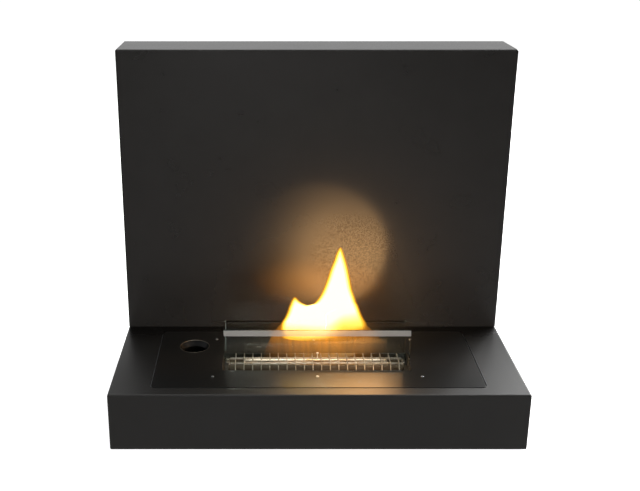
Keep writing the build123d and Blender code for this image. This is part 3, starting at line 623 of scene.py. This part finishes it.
def loft_tongue(levels, inset):
    """A closed mesh of rings, drawn in by inset on each side; it ends where the rings close."""
    work = bmesh.new()
    rings = []
    height = levels[0][0]
    while height < levels[-1][0]:
        left = side_at(levels, height, 1) + inset
        right = side_at(levels, height, 2) - inset
        if right - left < TIP_WIDTH:
            break
        half = (right - left) / 2
        depth = min(FLAME_FLATNESS * half, FLAME_DEPTH)
        ring = []
        for point in range(RING_POINTS):
            turn = 2 * math.pi * point / RING_POINTS
            ring.append(work.verts.new((
                ((left + right) / 2 + half * math.cos(turn)) * MM,
                FLAME_Y + depth * math.sin(turn) * MM,
                plate_high.z + height * MM,
            )))
        rings.append(ring)
        height += LEVEL_STEP
    join_rings(work, rings)
    work.faces.new(list(reversed(rings[0])))
    work.faces.new(rings[-1])
    return mesh_of(work, "tongue")


print("tall tongue", side_at(tall_tongue, 91, 2) - side_at(tall_tongue, 91, 1), "mm wide at its shoulder")


# %% Fuse the tongues and set each skin's heat
def add_object(name, mesh, material, body):
    """Put a mesh in the scene as a piece that rides on a body."""
    piece = bpy.data.objects.new(name, mesh)
    bpy.context.scene.collection.objects.link(piece)
    mesh.materials.clear()
    mesh.materials.append(material)
    for face in mesh.polygons:
        face.use_smooth = True
    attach(piece, body)
    return piece


def boolean_mesh(first, second, operation):
    """The mesh of an exact Boolean of two meshes."""
    left = bpy.data.objects.new("left", first)
    right = bpy.data.objects.new("right", second)
    for part in (left, right):
        bpy.context.scene.collection.objects.link(part)
    cut = left.modifiers.new("cut", "BOOLEAN")
    cut.object = right
    cut.operation = operation
    cut.solver = "EXACT"
    bpy.context.view_layer.update()
    mesh = bpy.data.meshes.new_from_object(left.evaluated_get(bpy.context.evaluated_depsgraph_get()))
    bpy.data.objects.remove(left)
    bpy.data.objects.remove(right)
    return mesh


def set_heat(mesh, heat):
    """Give every point of a skin the same heat."""
    values = mesh.attributes.new("gas_heat", "FLOAT", "POINT")
    values.data.foreach_set("value", [heat] * len(mesh.vertices))


# Name, how far it is drawn in on each side in mm, and heat.
flame_skins = (("flame_veil", 0.0, 0.0), ("flame_mantle", 1.9, 0.3), ("flame_heart", 4.4, 0.62),
               ("flame_core", 7.2, 1.0))
for skin_name, inset, skin_heat in flame_skins:
    skin_mesh = boolean_mesh(loft_tongue(tall_tongue, inset), loft_tongue(low_tongue, inset), "UNION")
    set_heat(skin_mesh, skin_heat)
    skin = add_object(skin_name, skin_mesh, flame_gas, "burner_unit")
    skin.visible_shadow = False
    skin.visible_glossy = False
    print(skin_name, len(skin_mesh.polygons), "faces")

# %% [markdown]
# ## The orange skirt
#
# Below the white part, cool vapour glows a clear orange and thins out over the slot, far wider than the
# flame itself. It is one more loft with its own material: the glow is strongest along the middle, thins to
# a tenth towards the burner, and is combed into upright wisps by a noise stretched along Z.

# %% Skirt material
SKIRT_MIDDLE = 8.0
SKIRT_REACH = 106.0
SKIRT_CORE = 12.0
SKIRT_BRIGHTEST = 42.0
SKIRT_CROWN = 46.0
SKIRT_TOP = 72.0
SKIRT_GROWTH = 2.2
SKIRT_DENSITY = 0.14
WISP_WIDTH = 9.0

skirt_gas, tree, shader = start_material("cool_ethanol_vapour", Base_Color=linear("#000000"), Roughness=1.0,
                                         Specular_IOR_Level=0.0, Emission_Strength=4.0,
                                         Emission_Color=linear("#ff9e2c"))
place = add_node(tree, "ShaderNodeTexCoord").outputs["Object"]
parts = add_node(tree, "ShaderNodeSeparateXYZ", {"Vector": place})
off_middle = add_node(tree, "ShaderNodeMath", {0: parts.outputs["X"], 1: SKIRT_MIDDLE * MM},
                      operation="SUBTRACT")
sideways = add_node(tree, "ShaderNodeMath", {0: off_middle.outputs[0]}, operation="ABSOLUTE")
bell = add_node(tree, "ShaderNodeMapRange", {
    "Value": sideways.outputs[0], "From Min": SKIRT_REACH * MM, "From Max": SKIRT_CORE * MM},
    interpolation_type="SMOOTHSTEP")
upward = add_node(tree, "ShaderNodeMapRange", {
    "Value": parts.outputs["Z"], "From Min": plate_high.z, "From Max": plate_high.z + SKIRT_BRIGHTEST * MM,
    "To Min": 0.33})
growth = add_node(tree, "ShaderNodeMath", {0: upward.outputs["Result"], 1: SKIRT_GROWTH}, operation="POWER")
crown = add_node(tree, "ShaderNodeMapRange", {
    "Value": parts.outputs["Z"], "From Min": plate_high.z + SKIRT_TOP * MM,
    "From Max": plate_high.z + SKIRT_CROWN * MM}, interpolation_type="SMOOTHSTEP")
height = add_node(tree, "ShaderNodeMath", {0: growth.outputs[0], 1: crown.outputs["Result"]},
                  operation="MULTIPLY")
combed = add_node(tree, "ShaderNodeMapping", {"Vector": place, "Scale": (1.0, 0.3, 0.16)})
wisps = add_node(tree, "ShaderNodeTexNoise", {
    "Vector": combed.outputs["Vector"], "Scale": per_mm(WISP_WIDTH), "Detail": 2.0, "Distortion": 0.8})
wisp = add_node(tree, "ShaderNodeMapRange", {
    "Value": wisps.outputs["Fac"], "From Min": 0.3, "From Max": 0.7, "To Min": 0.45, "To Max": 1.1})
body = add_node(tree, "ShaderNodeMath", {0: bell.outputs["Result"], 1: height.outputs[0]},
                operation="MULTIPLY")
thin = add_node(tree, "ShaderNodeMath", {0: body.outputs[0], 1: wisp.outputs["Result"]}, operation="MULTIPLY")
veil = add_node(tree, "ShaderNodeMath", {0: thin.outputs[0], 1: SKIRT_DENSITY}, operation="MULTIPLY")
tree.links.new(veil.outputs[0], shader.inputs["Alpha"])
print(skirt_gas.name, "reaches", SKIRT_REACH, "mm to each side")

# %% Skirt mesh
skirt_levels = ((1, -80, 122), (22, -76, 112), (38, -69, 96), (50, -62, 84), (60, -54, 74), (70, -40, 60),
                (76, -12, 32))
skirt = add_object("flame_skirt", loft_tongue(skirt_levels, 0.0), skirt_gas, "burner_unit")
skirt.visible_shadow = False
print("skirt", len(skirt.data.polygons), "faces")

# %% [markdown]
# ## Light from the fire
#
# The flame's skins do shine, but a small, very bright glow seen in a satin surface renders clean only from
# a lamp. So five lamps stand round it, and their blurred images are the warm disc on the panel, the patch on
# the plate and the light along the slot and the trough. A lamp of even strength mirrors with a hard edge that
# no flame has, so all but the slot's fade like a bell from their brightest place, to a half at a given reach,
# by a few nodes that read where on the lamp a ray starts. They are as bright as a real flame is beside the
# room, and all ride with the burner. The fire's orange foot has a lamp of its own, a millimetre nearer than
# the disc's, because two lamps in one plane would hide each other at random.

# %% Fade an area lamp
def fade_lamp(data, span, rise, glow, turned):
    """Fade a lamp like a bell. glow is x, z, the reach to the left, to the right, and up and down, in mm."""
    width, height = span[1] - span[0], rise[1] - rise[0]
    middle, reach_left, reach_right = (glow[0] - span[0]) / width, glow[2], glow[3]
    if turned:
        middle, reach_left, reach_right = 1 - middle, reach_right, reach_left
    data.use_nodes = True
    tree = data.node_tree
    tree.nodes.clear()
    flat = add_node(tree, "ShaderNodeSeparateXYZ", {
        "Vector": add_node(tree, "ShaderNodeNewGeometry").outputs["Parametric"]})
    away_x = add_node(tree, "ShaderNodeMath", {0: flat.outputs["X"], 1: middle}, operation="SUBTRACT")
    beyond = add_node(tree, "ShaderNodeMath", {0: away_x.outputs[0], 1: 0.0}, operation="GREATER_THAN")
    per_reach = add_node(tree, "ShaderNodeMapRange", {
        "Value": beyond.outputs[0], "To Min": width / reach_left, "To Max": width / reach_right})
    away_z = add_node(tree, "ShaderNodeMath", {0: flat.outputs["Y"], 1: (glow[1] - rise[0]) / height},
                      operation="SUBTRACT")
    wide = add_node(tree, "ShaderNodeMath", {0: away_x.outputs[0], 1: per_reach.outputs["Result"]},
                    operation="MULTIPLY")
    tall = add_node(tree, "ShaderNodeMath", {0: away_z.outputs[0], 1: height / glow[4]},
                    operation="MULTIPLY")
    offset = add_node(tree, "ShaderNodeCombineXYZ", {"X": wide.outputs[0], "Y": tall.outputs[0]})
    far = add_node(tree, "ShaderNodeVectorMath", {0: offset.outputs[0]}, operation="LENGTH")
    bent = add_node(tree, "ShaderNodeMath", {0: far.outputs["Value"], 1: 2.0}, operation="POWER")
    bell = add_node(tree, "ShaderNodeMath", {0: 0.5, 1: bent.outputs[0]}, operation="POWER")
    shine = add_node(tree, "ShaderNodeEmission", {"Strength": bell.outputs[0]})
    add_node(tree, "ShaderNodeOutputLight", {"Surface": shine.outputs[0]})


# %% Fire lamps
BEHIND_PANES = slot_y + 30.5 * MM
BEFORE_PANES = slot_y - 34 * MM
FIRE_COLOUR = "#ffc07c"
EMBER_COLOUR = "#ff9e3f"
DISC_COLOUR = "#ffc582"
HEART_COLOUR = "#ffe7cb"
TO_PANEL = (90, 0, 0)
TO_FRONT = (90, 0, 180)
DOWN = (0, 0, 0)
TO_TROUGH = (68, 0, 0)


def fire_lamp(name, shape, span, rise, y, turn, radiance, colour=FIRE_COLOUR, glow=None):
    """A lamp that spans x and z (in mm, z above the plate) and rides with the burner."""
    width, height = (span[1] - span[0]) * MM, (rise[1] - rise[0]) * MM
    data = bpy.data.lights.new(name, "AREA")
    data.shape = shape
    data.size = width
    data.size_y = height
    data.color = linear(colour)[:3]
    data.energy = radiance * math.pi * width * height * (math.pi / 4 if shape == "ELLIPSE" else 1)
    lamp = bpy.data.objects.new(name, data)
    lamp.location = (sum(span) / 2 * MM, y, plate_high.z + sum(rise) / 2 * MM)
    lamp.rotation_euler = [math.radians(angle) for angle in turn]
    lamp.visible_camera = False
    lamp.visible_transmission = False
    bpy.context.scene.collection.objects.link(lamp)
    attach(lamp, "burner_unit")
    if glow:
        fade_lamp(data, span, rise, glow, turned=turn == TO_FRONT)
    print(name, "radiance", radiance)


fire_lamp("fire_on_panel", "ELLIPSE", (-112, 128), (-14, 215), BEHIND_PANES, TO_PANEL, 10.7, DISC_COLOUR,
          glow=(44, 78, 58, 150, 77))
fire_lamp("embers_on_panel", "ELLIPSE", (-95, 124), (2, 82), BEHIND_PANES - MM, TO_PANEL, 6.4, EMBER_COLOUR,
          glow=(26, 38, 60, 62, 26))
fire_lamp("fire_on_plate", "RECTANGLE", (-95, 127), (2, 80), BEFORE_PANES, TO_FRONT, 11.0,
          glow=(80, 64, 62, 31, 44))
fire_lamp("fire_on_slot", "RECTANGLE", (-108, 110), (42, 58), slot_y, DOWN, 13.0, HEART_COLOUR)
fire_lamp("fire_in_trough", "RECTANGLE", (-70, 116), (-4, 8), pane_high.y + 2 * MM, TO_TROUGH, 3.6,
          glow=(66, 2, 62, 40, 12))

# %% [markdown]
# ## Screws with cross recesses
#
# CAD keeps its screws plain: a disc on a pin. A real pan-head screw has a crowned head and a cross recess,
# and that is what the eye knows it by. One template is turned on a lathe and its recess is cut by a
# tapered cross; copies of it then replace the CAD's own screws, at the places where those sit.

# %% Find the separate solids of a node
def solids_of(node):
    """The box of each separate solid in a CAD node, from left to right."""
    work = bmesh.new()
    work.from_mesh(frame["nodes"][node].data)
    bmesh.ops.remove_doubles(work, verts=work.verts, dist=0.001 * MM)
    left_over = set(work.verts)
    boxes = []
    while left_over:
        front = [left_over.pop()]
        found = []
        while front:
            vert = front.pop()
            found.append(vert.co.copy())
            for edge in vert.link_edges:
                other = edge.other_vert(vert)
                if other in left_over:
                    left_over.remove(other)
                    front.append(other)
        low = Vector([min(place[axis] for place in found) for axis in range(3)])
        high = Vector([max(place[axis] for place in found) for axis in range(3)])
        boxes.append((low, high))
    work.free()
    # The walk above starts anywhere in a set, so only sorting gives every run the same order.
    return sorted(boxes, key=lambda box: tuple(box[0]))


print("screws in the rear cover:", len(solids_of("cover_screws")))


# %% Turn a profile on the lathe
def lathe(profile, segments):
    """A closed mesh that turns (radius, height) points round Z; the ends lie on the axis."""
    work = bmesh.new()
    ends = [work.verts.new((0, 0, profile[0][1])), work.verts.new((0, 0, profile[-1][1]))]
    rings = []
    for radius, height in profile[1:-1]:
        rings.append([work.verts.new((radius * math.cos(2 * math.pi * i / segments),
                                      radius * math.sin(2 * math.pi * i / segments), height))
                      for i in range(segments)])
    join_rings(work, rings)
    for i in range(segments):
        after = (i + 1) % segments
        work.faces.new((ends[0], rings[0][i], rings[0][after]))
        work.faces.new((ends[1], rings[-1][after], rings[-1][i]))
    bmesh.ops.recalc_face_normals(work, faces=work.faces)
    return mesh_of(work, "turned")


def cross_cutter(reach, width, depth, top):
    """A cross-shaped punch that narrows towards its tip."""
    corners = [(reach, -width), (reach, width), (width, width), (width, reach), (-width, reach),
               (-width, width), (-reach, width), (-reach, -width), (-width, -width), (-width, -reach),
               (width, -reach), (width, -width)]
    work = bmesh.new()
    upper = [work.verts.new((x, y, top + depth)) for x, y in corners]
    lower = [work.verts.new((0.55 * x, 0.55 * y, top - depth)) for x, y in corners]
    for i in range(len(corners)):
        after = (i + 1) % len(corners)
        work.faces.new((lower[i], lower[after], upper[after], upper[i]))
    work.faces.new(upper)
    work.faces.new(list(reversed(lower)))
    return mesh_of(work, "punch")


# %% A pan-head screw and its copies
HEAD_SEGMENTS = 24
THREAD_PITCH = 0.8
PLATE_HEAD_RISE = 1.1
PLATE_SHANK_SHARE = 3.0 / 4.6
SHEET_HEAD_RISE = 1.6
SHEET_SHANK_SHARE = 0.5


def screw_mesh(head_radius, head_rise, shank_radius, shank_length):
    """A pan head on the plane Z = 0 with a ringed shank below it."""
    crown = [(0, head_rise), (0.5 * head_radius, 0.98 * head_rise), (0.8 * head_radius, 0.84 * head_rise),
             (0.96 * head_radius, 0.5 * head_rise), (head_radius, 0.12 * head_rise), (head_radius, 0)]
    shank = [(shank_radius, 0)]
    turns = int(shank_length / (THREAD_PITCH * MM)) - 1
    for turn in range(turns):
        height = -(turn + 0.6) * THREAD_PITCH * MM
        shank += [(shank_radius, height), (0.8 * shank_radius, height - 0.4 * THREAD_PITCH * MM)]
    shank += [(0.7 * shank_radius, -shank_length), (0, -shank_length)]
    body = lathe(crown + shank, HEAD_SEGMENTS)
    punch = cross_cutter(0.52 * head_radius, 0.13 * head_radius, 0.6 * head_rise, head_rise)
    return boolean_mesh(body, punch, "DIFFERENCE")


def replace_screws(node, body, axis, head_rise, shank_share):
    """Stand a detailed screw at the place of each plain one in a node; axis points out of the head."""
    axis = Vector(axis)
    turned = axis.to_track_quat("Z", "Y").to_matrix().to_4x4()
    lane = [abs(value) for value in axis].index(1)
    side = (lane + 1) % 3
    whole = bmesh.new()
    chance = random.Random(len(node))
    for low, high in solids_of(node):
        head_radius = (high[side] - low[side]) / 2
        length = high[lane] - low[lane]
        seat = (low + high) / 2 + axis * (length / 2 - head_rise)
        if not whole.verts:
            template = screw_mesh(head_radius, head_rise, shank_share * head_radius, length - head_rise)
        spin = Matrix.Rotation(chance.uniform(0, math.pi / 2), 4, "Z")
        copy = template.copy()
        copy.transform(Matrix.Translation(seat) @ turned @ spin)
        whole.from_mesh(copy)
        bpy.data.meshes.remove(copy)
    mesh = mesh_of(whole, node + "_detailed")
    piece = add_object(node + "_detailed", mesh, zinc, body)
    for face in mesh.polygons:
        face.use_smooth = False
    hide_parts(node)
    print(node, "replaced,", len(mesh.polygons), "faces")


replace_screws("plate_screws", "burner_unit", (0, 0, 1), PLATE_HEAD_RISE * MM, PLATE_SHANK_SHARE)
replace_screws("cover_screws", "housing", (0, 1, 0), SHEET_HEAD_RISE * MM, SHEET_SHANK_SHARE)
replace_screws("floor_screws", "housing", (0, 0, -1), SHEET_HEAD_RISE * MM, SHEET_SHANK_SHARE)

# %% [markdown]
# ## Weld beads on the guard
#
# Each cross wire is resistance-welded to both rods, and every weld leaves a small squashed bead. They are
# what makes a wire guard look made rather than drawn. A bead is an icosphere, flattened and dented by noise,
# so no two are alike, and all forty are one mesh.

# %% Weld beads
BEAD_RADIUS = 0.95
BEAD_SHAPE = Vector((0.95, 1.05, 0.62))
BEAD_SINK = 0.15
DENT_WIDTH = 1.1
DENT_DEPTH = 0.35

wire_boxes = solids_of("guard_wires")
rod_boxes = solids_of("guard_rods")
beads = bmesh.new()
for wire_low, wire_high in wire_boxes:
    for one_rod_low, one_rod_high in rod_boxes:
        centre = Vector(((wire_low.x + wire_high.x) / 2, (one_rod_low.y + one_rod_high.y) / 2,
                         one_rod_high.z - BEAD_SINK * MM))
        made = bmesh.ops.create_icosphere(beads, subdivisions=2, radius=BEAD_RADIUS * MM)
        for vert in made["verts"]:
            lump = 1 + DENT_DEPTH * noise.noise((vert.co + centre) * per_mm(DENT_WIDTH))
            vert.co = vert.co * BEAD_SHAPE * lump + centre
bead_mesh = mesh_of(beads, "guard_weld_beads")
add_object("guard_weld_beads", bead_mesh, sooted_wire, "wire_guard")
print("beads", len(wire_boxes) * len(rod_boxes))

# %% [markdown]
# ## The knob of the guard
#
# A cold guard is lifted by a small mushroom knob, turned from rod and welded on the rear rod just right of
# the middle. In the photograph it is the bright speck behind the wires. It is one more piece for the lathe.

# %% Lifting knob
KNOB_X = 2.6
KNOB_SINK = 0.4
rear_low, rear_high = max(rod_boxes, key=lambda box: box[0].y)
knob_profile = ((0, 9.6), (1.1, 9.5), (1.8, 8.9), (2.0, 8.2), (1.8, 7.5), (1.0, 7.0), (0.8, 6.4), (0.8, 1.2),
                (1.3, 0.3), (1.3, 0.0), (0, 0.0))
knob_mesh = lathe([(radius * MM, height * MM) for radius, height in knob_profile], HEAD_SEGMENTS)
knob_mesh.transform(Matrix.Translation((KNOB_X * MM, (rear_low.y + rear_high.y) / 2,
                                        rear_high.z - KNOB_SINK * MM)))
add_object("guard_lifting_knob", knob_mesh, drawn_wire, "wire_guard")
print("knob", len(knob_mesh.polygons), "faces")

# %% [markdown]
# ## The collar's rolled hems
#
# Where the wick comes out, the collar's sheet is folded back on itself, so that nobody is cut by its edge. A
# hem is a long rounded bead, and it catches the light of the fire as the brightest line of the burner. Each
# one is a row of rings along X that close at both ends.

# %% Rolled hems
HEM_POINTS = 14


def hem(name, y, z, radius):
    """A rounded bead along the collar's opening."""
    work = bmesh.new()
    length = collar_high.x - collar_low.x
    stations = [(0, 0.4), (0.4 * radius, 0.85), (radius, 1.0), (length - radius, 1.0),
                (length - 0.4 * radius, 0.85), (length, 0.4)]
    rings = [[work.verts.new((collar_low.x + along,
                              y + radius * share * math.cos(2 * math.pi * i / HEM_POINTS),
                              z + radius * share * math.sin(2 * math.pi * i / HEM_POINTS)))
              for i in range(HEM_POINTS)] for along, share in stations]
    join_rings(work, rings)
    work.faces.new(rings[0])
    work.faces.new(list(reversed(rings[-1])))
    bmesh.ops.recalc_face_normals(work, faces=work.faces)
    add_object(name, mesh_of(work, name), stainless, "burner_unit")


# Name, place across the slot, depth below the collar's flange and radius, in mm.
for hem_name, off_slot, below, radius in (("collar_rear_hem", 6.2, 0.6, 1.3),
                                          ("collar_front_hem", -6.8, 0.5, 0.6)):
    hem(hem_name, slot_y + off_slot * MM, collar_high.z - below * MM, radius * MM)
print("two hems", round((collar_high.x - collar_low.x) / MM), "mm long")

# %% [markdown]
# ## The lip of the filler
#
# The plate's round opening over the filler is drawn down with a rounded lip, which is what the light
# catches as a thin bright ring. The lip is a small bead bent to a circle, and it sits in the opening's
# corner.

# %% Filler lip
MOUTH_WIDTH = 46.3
LIP_RADIUS = 0.7
LIP_SEGMENTS = 72
LIP_POINTS = 10
LIP_SINK = 0.55
LIP_OVERLAP = 0.2

cup_low, cup_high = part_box("filler_cup")
mouth = Vector(((cup_low.x + cup_high.x) / 2, (cup_low.y + cup_high.y) / 2, plate_high.z - LIP_SINK * MM))
work = bmesh.new()
rings = []
for segment in range(LIP_SEGMENTS):
    turn = 2 * math.pi * segment / LIP_SEGMENTS
    out = Vector((math.cos(turn), math.sin(turn), 0))
    ring = []
    for angle in (2 * math.pi * i / LIP_POINTS for i in range(LIP_POINTS)):
        reach = MOUTH_WIDTH / 2 - LIP_OVERLAP + LIP_RADIUS * math.cos(angle)
        ring.append(work.verts.new(mouth + out * reach * MM
                                   + Vector((0, 0, LIP_RADIUS * MM * math.sin(angle)))))
    rings.append(ring)
join_rings(work, rings + rings[:1])
bmesh.ops.recalc_face_normals(work, faces=work.faces)
lip_mesh = mesh_of(work, "filler_lip")
add_object("filler_lip", lip_mesh, sooted_wire, "burner_unit")
print("filler lip", len(lip_mesh.polygons), "faces")

# %% [markdown]
# ## Loose fibres on the wick
#
# The cut edge of ceramic wool is never smooth: fibres stand up and lie across it. Nine hundred thin bent
# strips, thrown with a fixed seed inside the collar, give the wick its fringe without hair particles, which
# an export would lose.

# %% Wick fibres
FIBRE_COUNT = 900
FIBRE_LENGTH = (2.0, 7.0)
FIBRE_HALF_WIDTH = (0.06, 0.12)
FIBRE_RISE = 1.0
WICK_HALF = 6.2
WICK_EDGE = 6.6
START_MARGIN = 4.0
END_MARGIN = 2.0
ROOT_DEPTH = 0.1

chance = random.Random(7)
fringe = bmesh.new()
for fibre in range(FIBRE_COUNT):
    start = Vector((chance.uniform(collar_low.x + START_MARGIN * MM, collar_high.x - START_MARGIN * MM),
                    chance.uniform(slot_y - WICK_HALF * MM, slot_y + WICK_HALF * MM),
                    wool_high.z - ROOT_DEPTH * MM))
    heading = chance.uniform(0, 2 * math.pi)
    length = chance.uniform(*FIBRE_LENGTH) * MM
    along = Vector((math.cos(heading), 0.35 * math.sin(heading), 0))
    beside = Vector((-math.sin(heading), math.cos(heading), 0)) * chance.uniform(*FIBRE_HALF_WIDTH) * MM
    bend = chance.uniform(-0.3, 0.3)
    strip = []
    for step in range(5):
        share = step / 4
        arch = math.sin(math.pi * share) * chance.uniform(0.5, 1.0) * FIBRE_RISE * MM
        point = start + along * length * share + Vector((0, bend * length * share * share * 0.5, arch))
        point.y = max(min(point.y, slot_y + WICK_EDGE * MM), slot_y - WICK_EDGE * MM)
        point.x = max(min(point.x, collar_high.x - END_MARGIN * MM), collar_low.x + END_MARGIN * MM)
        strip.append((fringe.verts.new(point - beside), fringe.verts.new(point + beside)))
    for (a, b), (c, d) in zip(strip, strip[1:]):
        fringe.faces.new((a, b, d, c))
fringe_mesh = mesh_of(fringe, "wick_fibres")
add_object("wick_fibres", fringe_mesh, ceramic_wool, "burner_unit")
print("fibres", FIBRE_COUNT)

# %% [markdown]
# ## Studio
#
# The photograph's ground is plain white and its light soft. A large sheet is the floor. What the camera
# sees of it is lifted to white by a little light of its own, while its own shading stays underneath and
# keeps the shadow. Satin black shows whatever it mirrors, so what glossy rays see is graded in the floor
# and the world alike: dim behind the camera, brighter behind the fireplace, and almost black far out to
# both sides, which gives the casing its dark side edges. Three soft boxes light the object. The one in
# front isn't mirrored: it lifts the black's own tone without a hot spot in the gloss.

# %% What the gloss mirrors
GLOSS_FRONT = 0.15
GLOSS_BACK = 0.76
GLOSS_ASIDE = 0.05


def graded_gloss(tree, position, depth, aside):
    """The strength mirrored from a place: it grows along Y over depth, and drops beyond aside along X."""
    parts = add_node(tree, "ShaderNodeSeparateXYZ", {"Vector": position})
    graded = add_node(tree, "ShaderNodeMapRange", {
        "Value": parts.outputs["Y"], "From Min": depth[0], "From Max": depth[1],
        "To Min": GLOSS_FRONT, "To Max": GLOSS_BACK})
    out = add_node(tree, "ShaderNodeMath", {0: parts.outputs["X"]}, operation="ABSOLUTE")
    wings = add_node(tree, "ShaderNodeMapRange", {
        "Value": out.outputs[0], "From Min": aside[0], "From Max": aside[1],
        "To Min": 1.0, "To Max": GLOSS_ASIDE})
    mirrored = add_node(tree, "ShaderNodeMath", {0: graded.outputs["Result"], 1: wings.outputs["Result"]},
                        operation="MULTIPLY")
    return mirrored.outputs[0]


# %% Floor
FLOOR_HALF = 12.0
FLOOR_LIFT = 0.92
PAPER_CLOUD = 300.0

floor_material = bpy.data.materials.new("white_studio_sheet")
floor_material.use_nodes = True
tree = floor_material.node_tree
tree.nodes.clear()
rays = add_node(tree, "ShaderNodeLightPath")
place = add_node(tree, "ShaderNodeTexCoord").outputs["Object"]
paper = add_node(tree, "ShaderNodeTexNoise", {"Vector": place, "Scale": per_mm(PAPER_CLOUD)})
sheet_tone = add_node(tree, "ShaderNodeMix", {
    "Factor": paper.outputs["Fac"], "A": linear("#ebebeb"), "B": linear("#efefef")}, data_type="RGBA")
seen = add_node(tree, "ShaderNodeMath", {
    0: rays.outputs["Is Camera Ray"], 1: rays.outputs["Is Transmission Ray"]}, operation="MAXIMUM")
lift = add_node(tree, "ShaderNodeMath", {0: seen.outputs[0], 1: FLOOR_LIFT}, operation="MULTIPLY")
paper_light = add_node(tree, "ShaderNodeEmission", {"Strength": lift.outputs[0]})
paper_shade = add_node(tree, "ShaderNodeBsdfDiffuse", {"Color": sheet_tone.outputs[2]})
paper_seen = add_node(tree, "ShaderNodeAddShader", {0: paper_shade.outputs[0], 1: paper_light.outputs[0]})
open_floor = graded_gloss(tree, place, depth=(-0.3, 0.8), aside=(0.45, 0.85))
paper_mirrored = add_node(tree, "ShaderNodeEmission", {"Strength": open_floor})
sheet = add_node(tree, "ShaderNodeMixShader", {
    0: rays.outputs["Is Glossy Ray"], 1: paper_seen.outputs[0], 2: paper_mirrored.outputs[0]})
add_node(tree, "ShaderNodeOutputMaterial", {"Surface": sheet.outputs[0]})

floor_mesh = bpy.data.meshes.new("studio_floor")
floor_mesh.from_pydata([(x * FLOOR_HALF, y * FLOOR_HALF, 0) for x, y in ((-1, -1), (1, -1), (1, 1), (-1, 1))],
                       [], [(0, 1, 2, 3)])
floor_mesh.materials.append(floor_material)
floor = bpy.data.objects.new("studio_floor", floor_mesh)
bpy.context.scene.collection.objects.link(floor)
print("floor", 2 * FLOOR_HALF, "m wide")

# %% World
AMBIENT = 0.14
BACKDROP_WHITE = 1.25

world = bpy.data.worlds.new("studio_room")
bpy.context.scene.world = world
world.use_nodes = True
tree = world.node_tree
tree.nodes.clear()
rays = add_node(tree, "ShaderNodeLightPath")
direction = add_node(tree, "ShaderNodeTexCoord").outputs["Generated"]
not_gloss = add_node(tree, "ShaderNodeMath", {0: rays.outputs["Is Glossy Ray"], 1: 0.5},
                     operation="LESS_THAN")
open_room = graded_gloss(tree, direction, depth=(-0.4, 0.5), aside=(0.75, 0.92))
room = add_node(tree, "ShaderNodeMix", {
    "Factor": not_gloss.outputs[0], "A": open_room, "B": AMBIENT}, data_type="FLOAT")
seen = add_node(tree, "ShaderNodeMath", {
    0: rays.outputs["Is Camera Ray"], 1: rays.outputs["Is Transmission Ray"]}, operation="MAXIMUM")
strength = add_node(tree, "ShaderNodeMix", {
    "Factor": seen.outputs[0], "A": room.outputs[0], "B": BACKDROP_WHITE}, data_type="FLOAT")
backdrop = add_node(tree, "ShaderNodeBackground", {"Strength": strength.outputs[0]})
add_node(tree, "ShaderNodeOutputWorld", {"Surface": backdrop.outputs[0]})
print("ambient", AMBIENT)


# %% Soft boxes
def soft_box(name, centre, aim_at, size, radiance):
    """A square soft box of a given radiance, aimed at a point."""
    data = bpy.data.lights.new(name, "AREA")
    data.shape = "SQUARE"
    data.size = size
    data.energy = radiance * math.pi * size * size
    lamp = bpy.data.objects.new(name, data)
    lamp.location = centre
    lamp.rotation_euler = (Vector(aim_at) - Vector(centre)).to_track_quat("-Z", "Y").to_euler()
    lamp.visible_camera = False
    bpy.context.scene.collection.objects.link(lamp)
    print(name, size, "m wide, radiance", radiance)
    return lamp


soft_box("overhead_box", (0.1, 0.5, 2.3), (0, 0, 0.1), 1.4, radiance=3.0)
soft_box("rear_right_box", (2.2, 2.0, 1.6), (0.2, 0, 0.1), 1.8, radiance=16.0)
front_box = soft_box("front_box", (-0.3, -3.0, 0.5), (0, 0, 0.25), 1.0, radiance=22.5)
front_box.visible_glossy = False

# %% [markdown]
# ## Colour management
#
# The Standard transform writes colours as they are lit, without a film curve, which is how the photograph
# of a black object on pure white behaves.

# %% View transform
bpy.context.scene.view_settings.view_transform = "Standard"
print("view transform", bpy.context.scene.view_settings.view_transform)
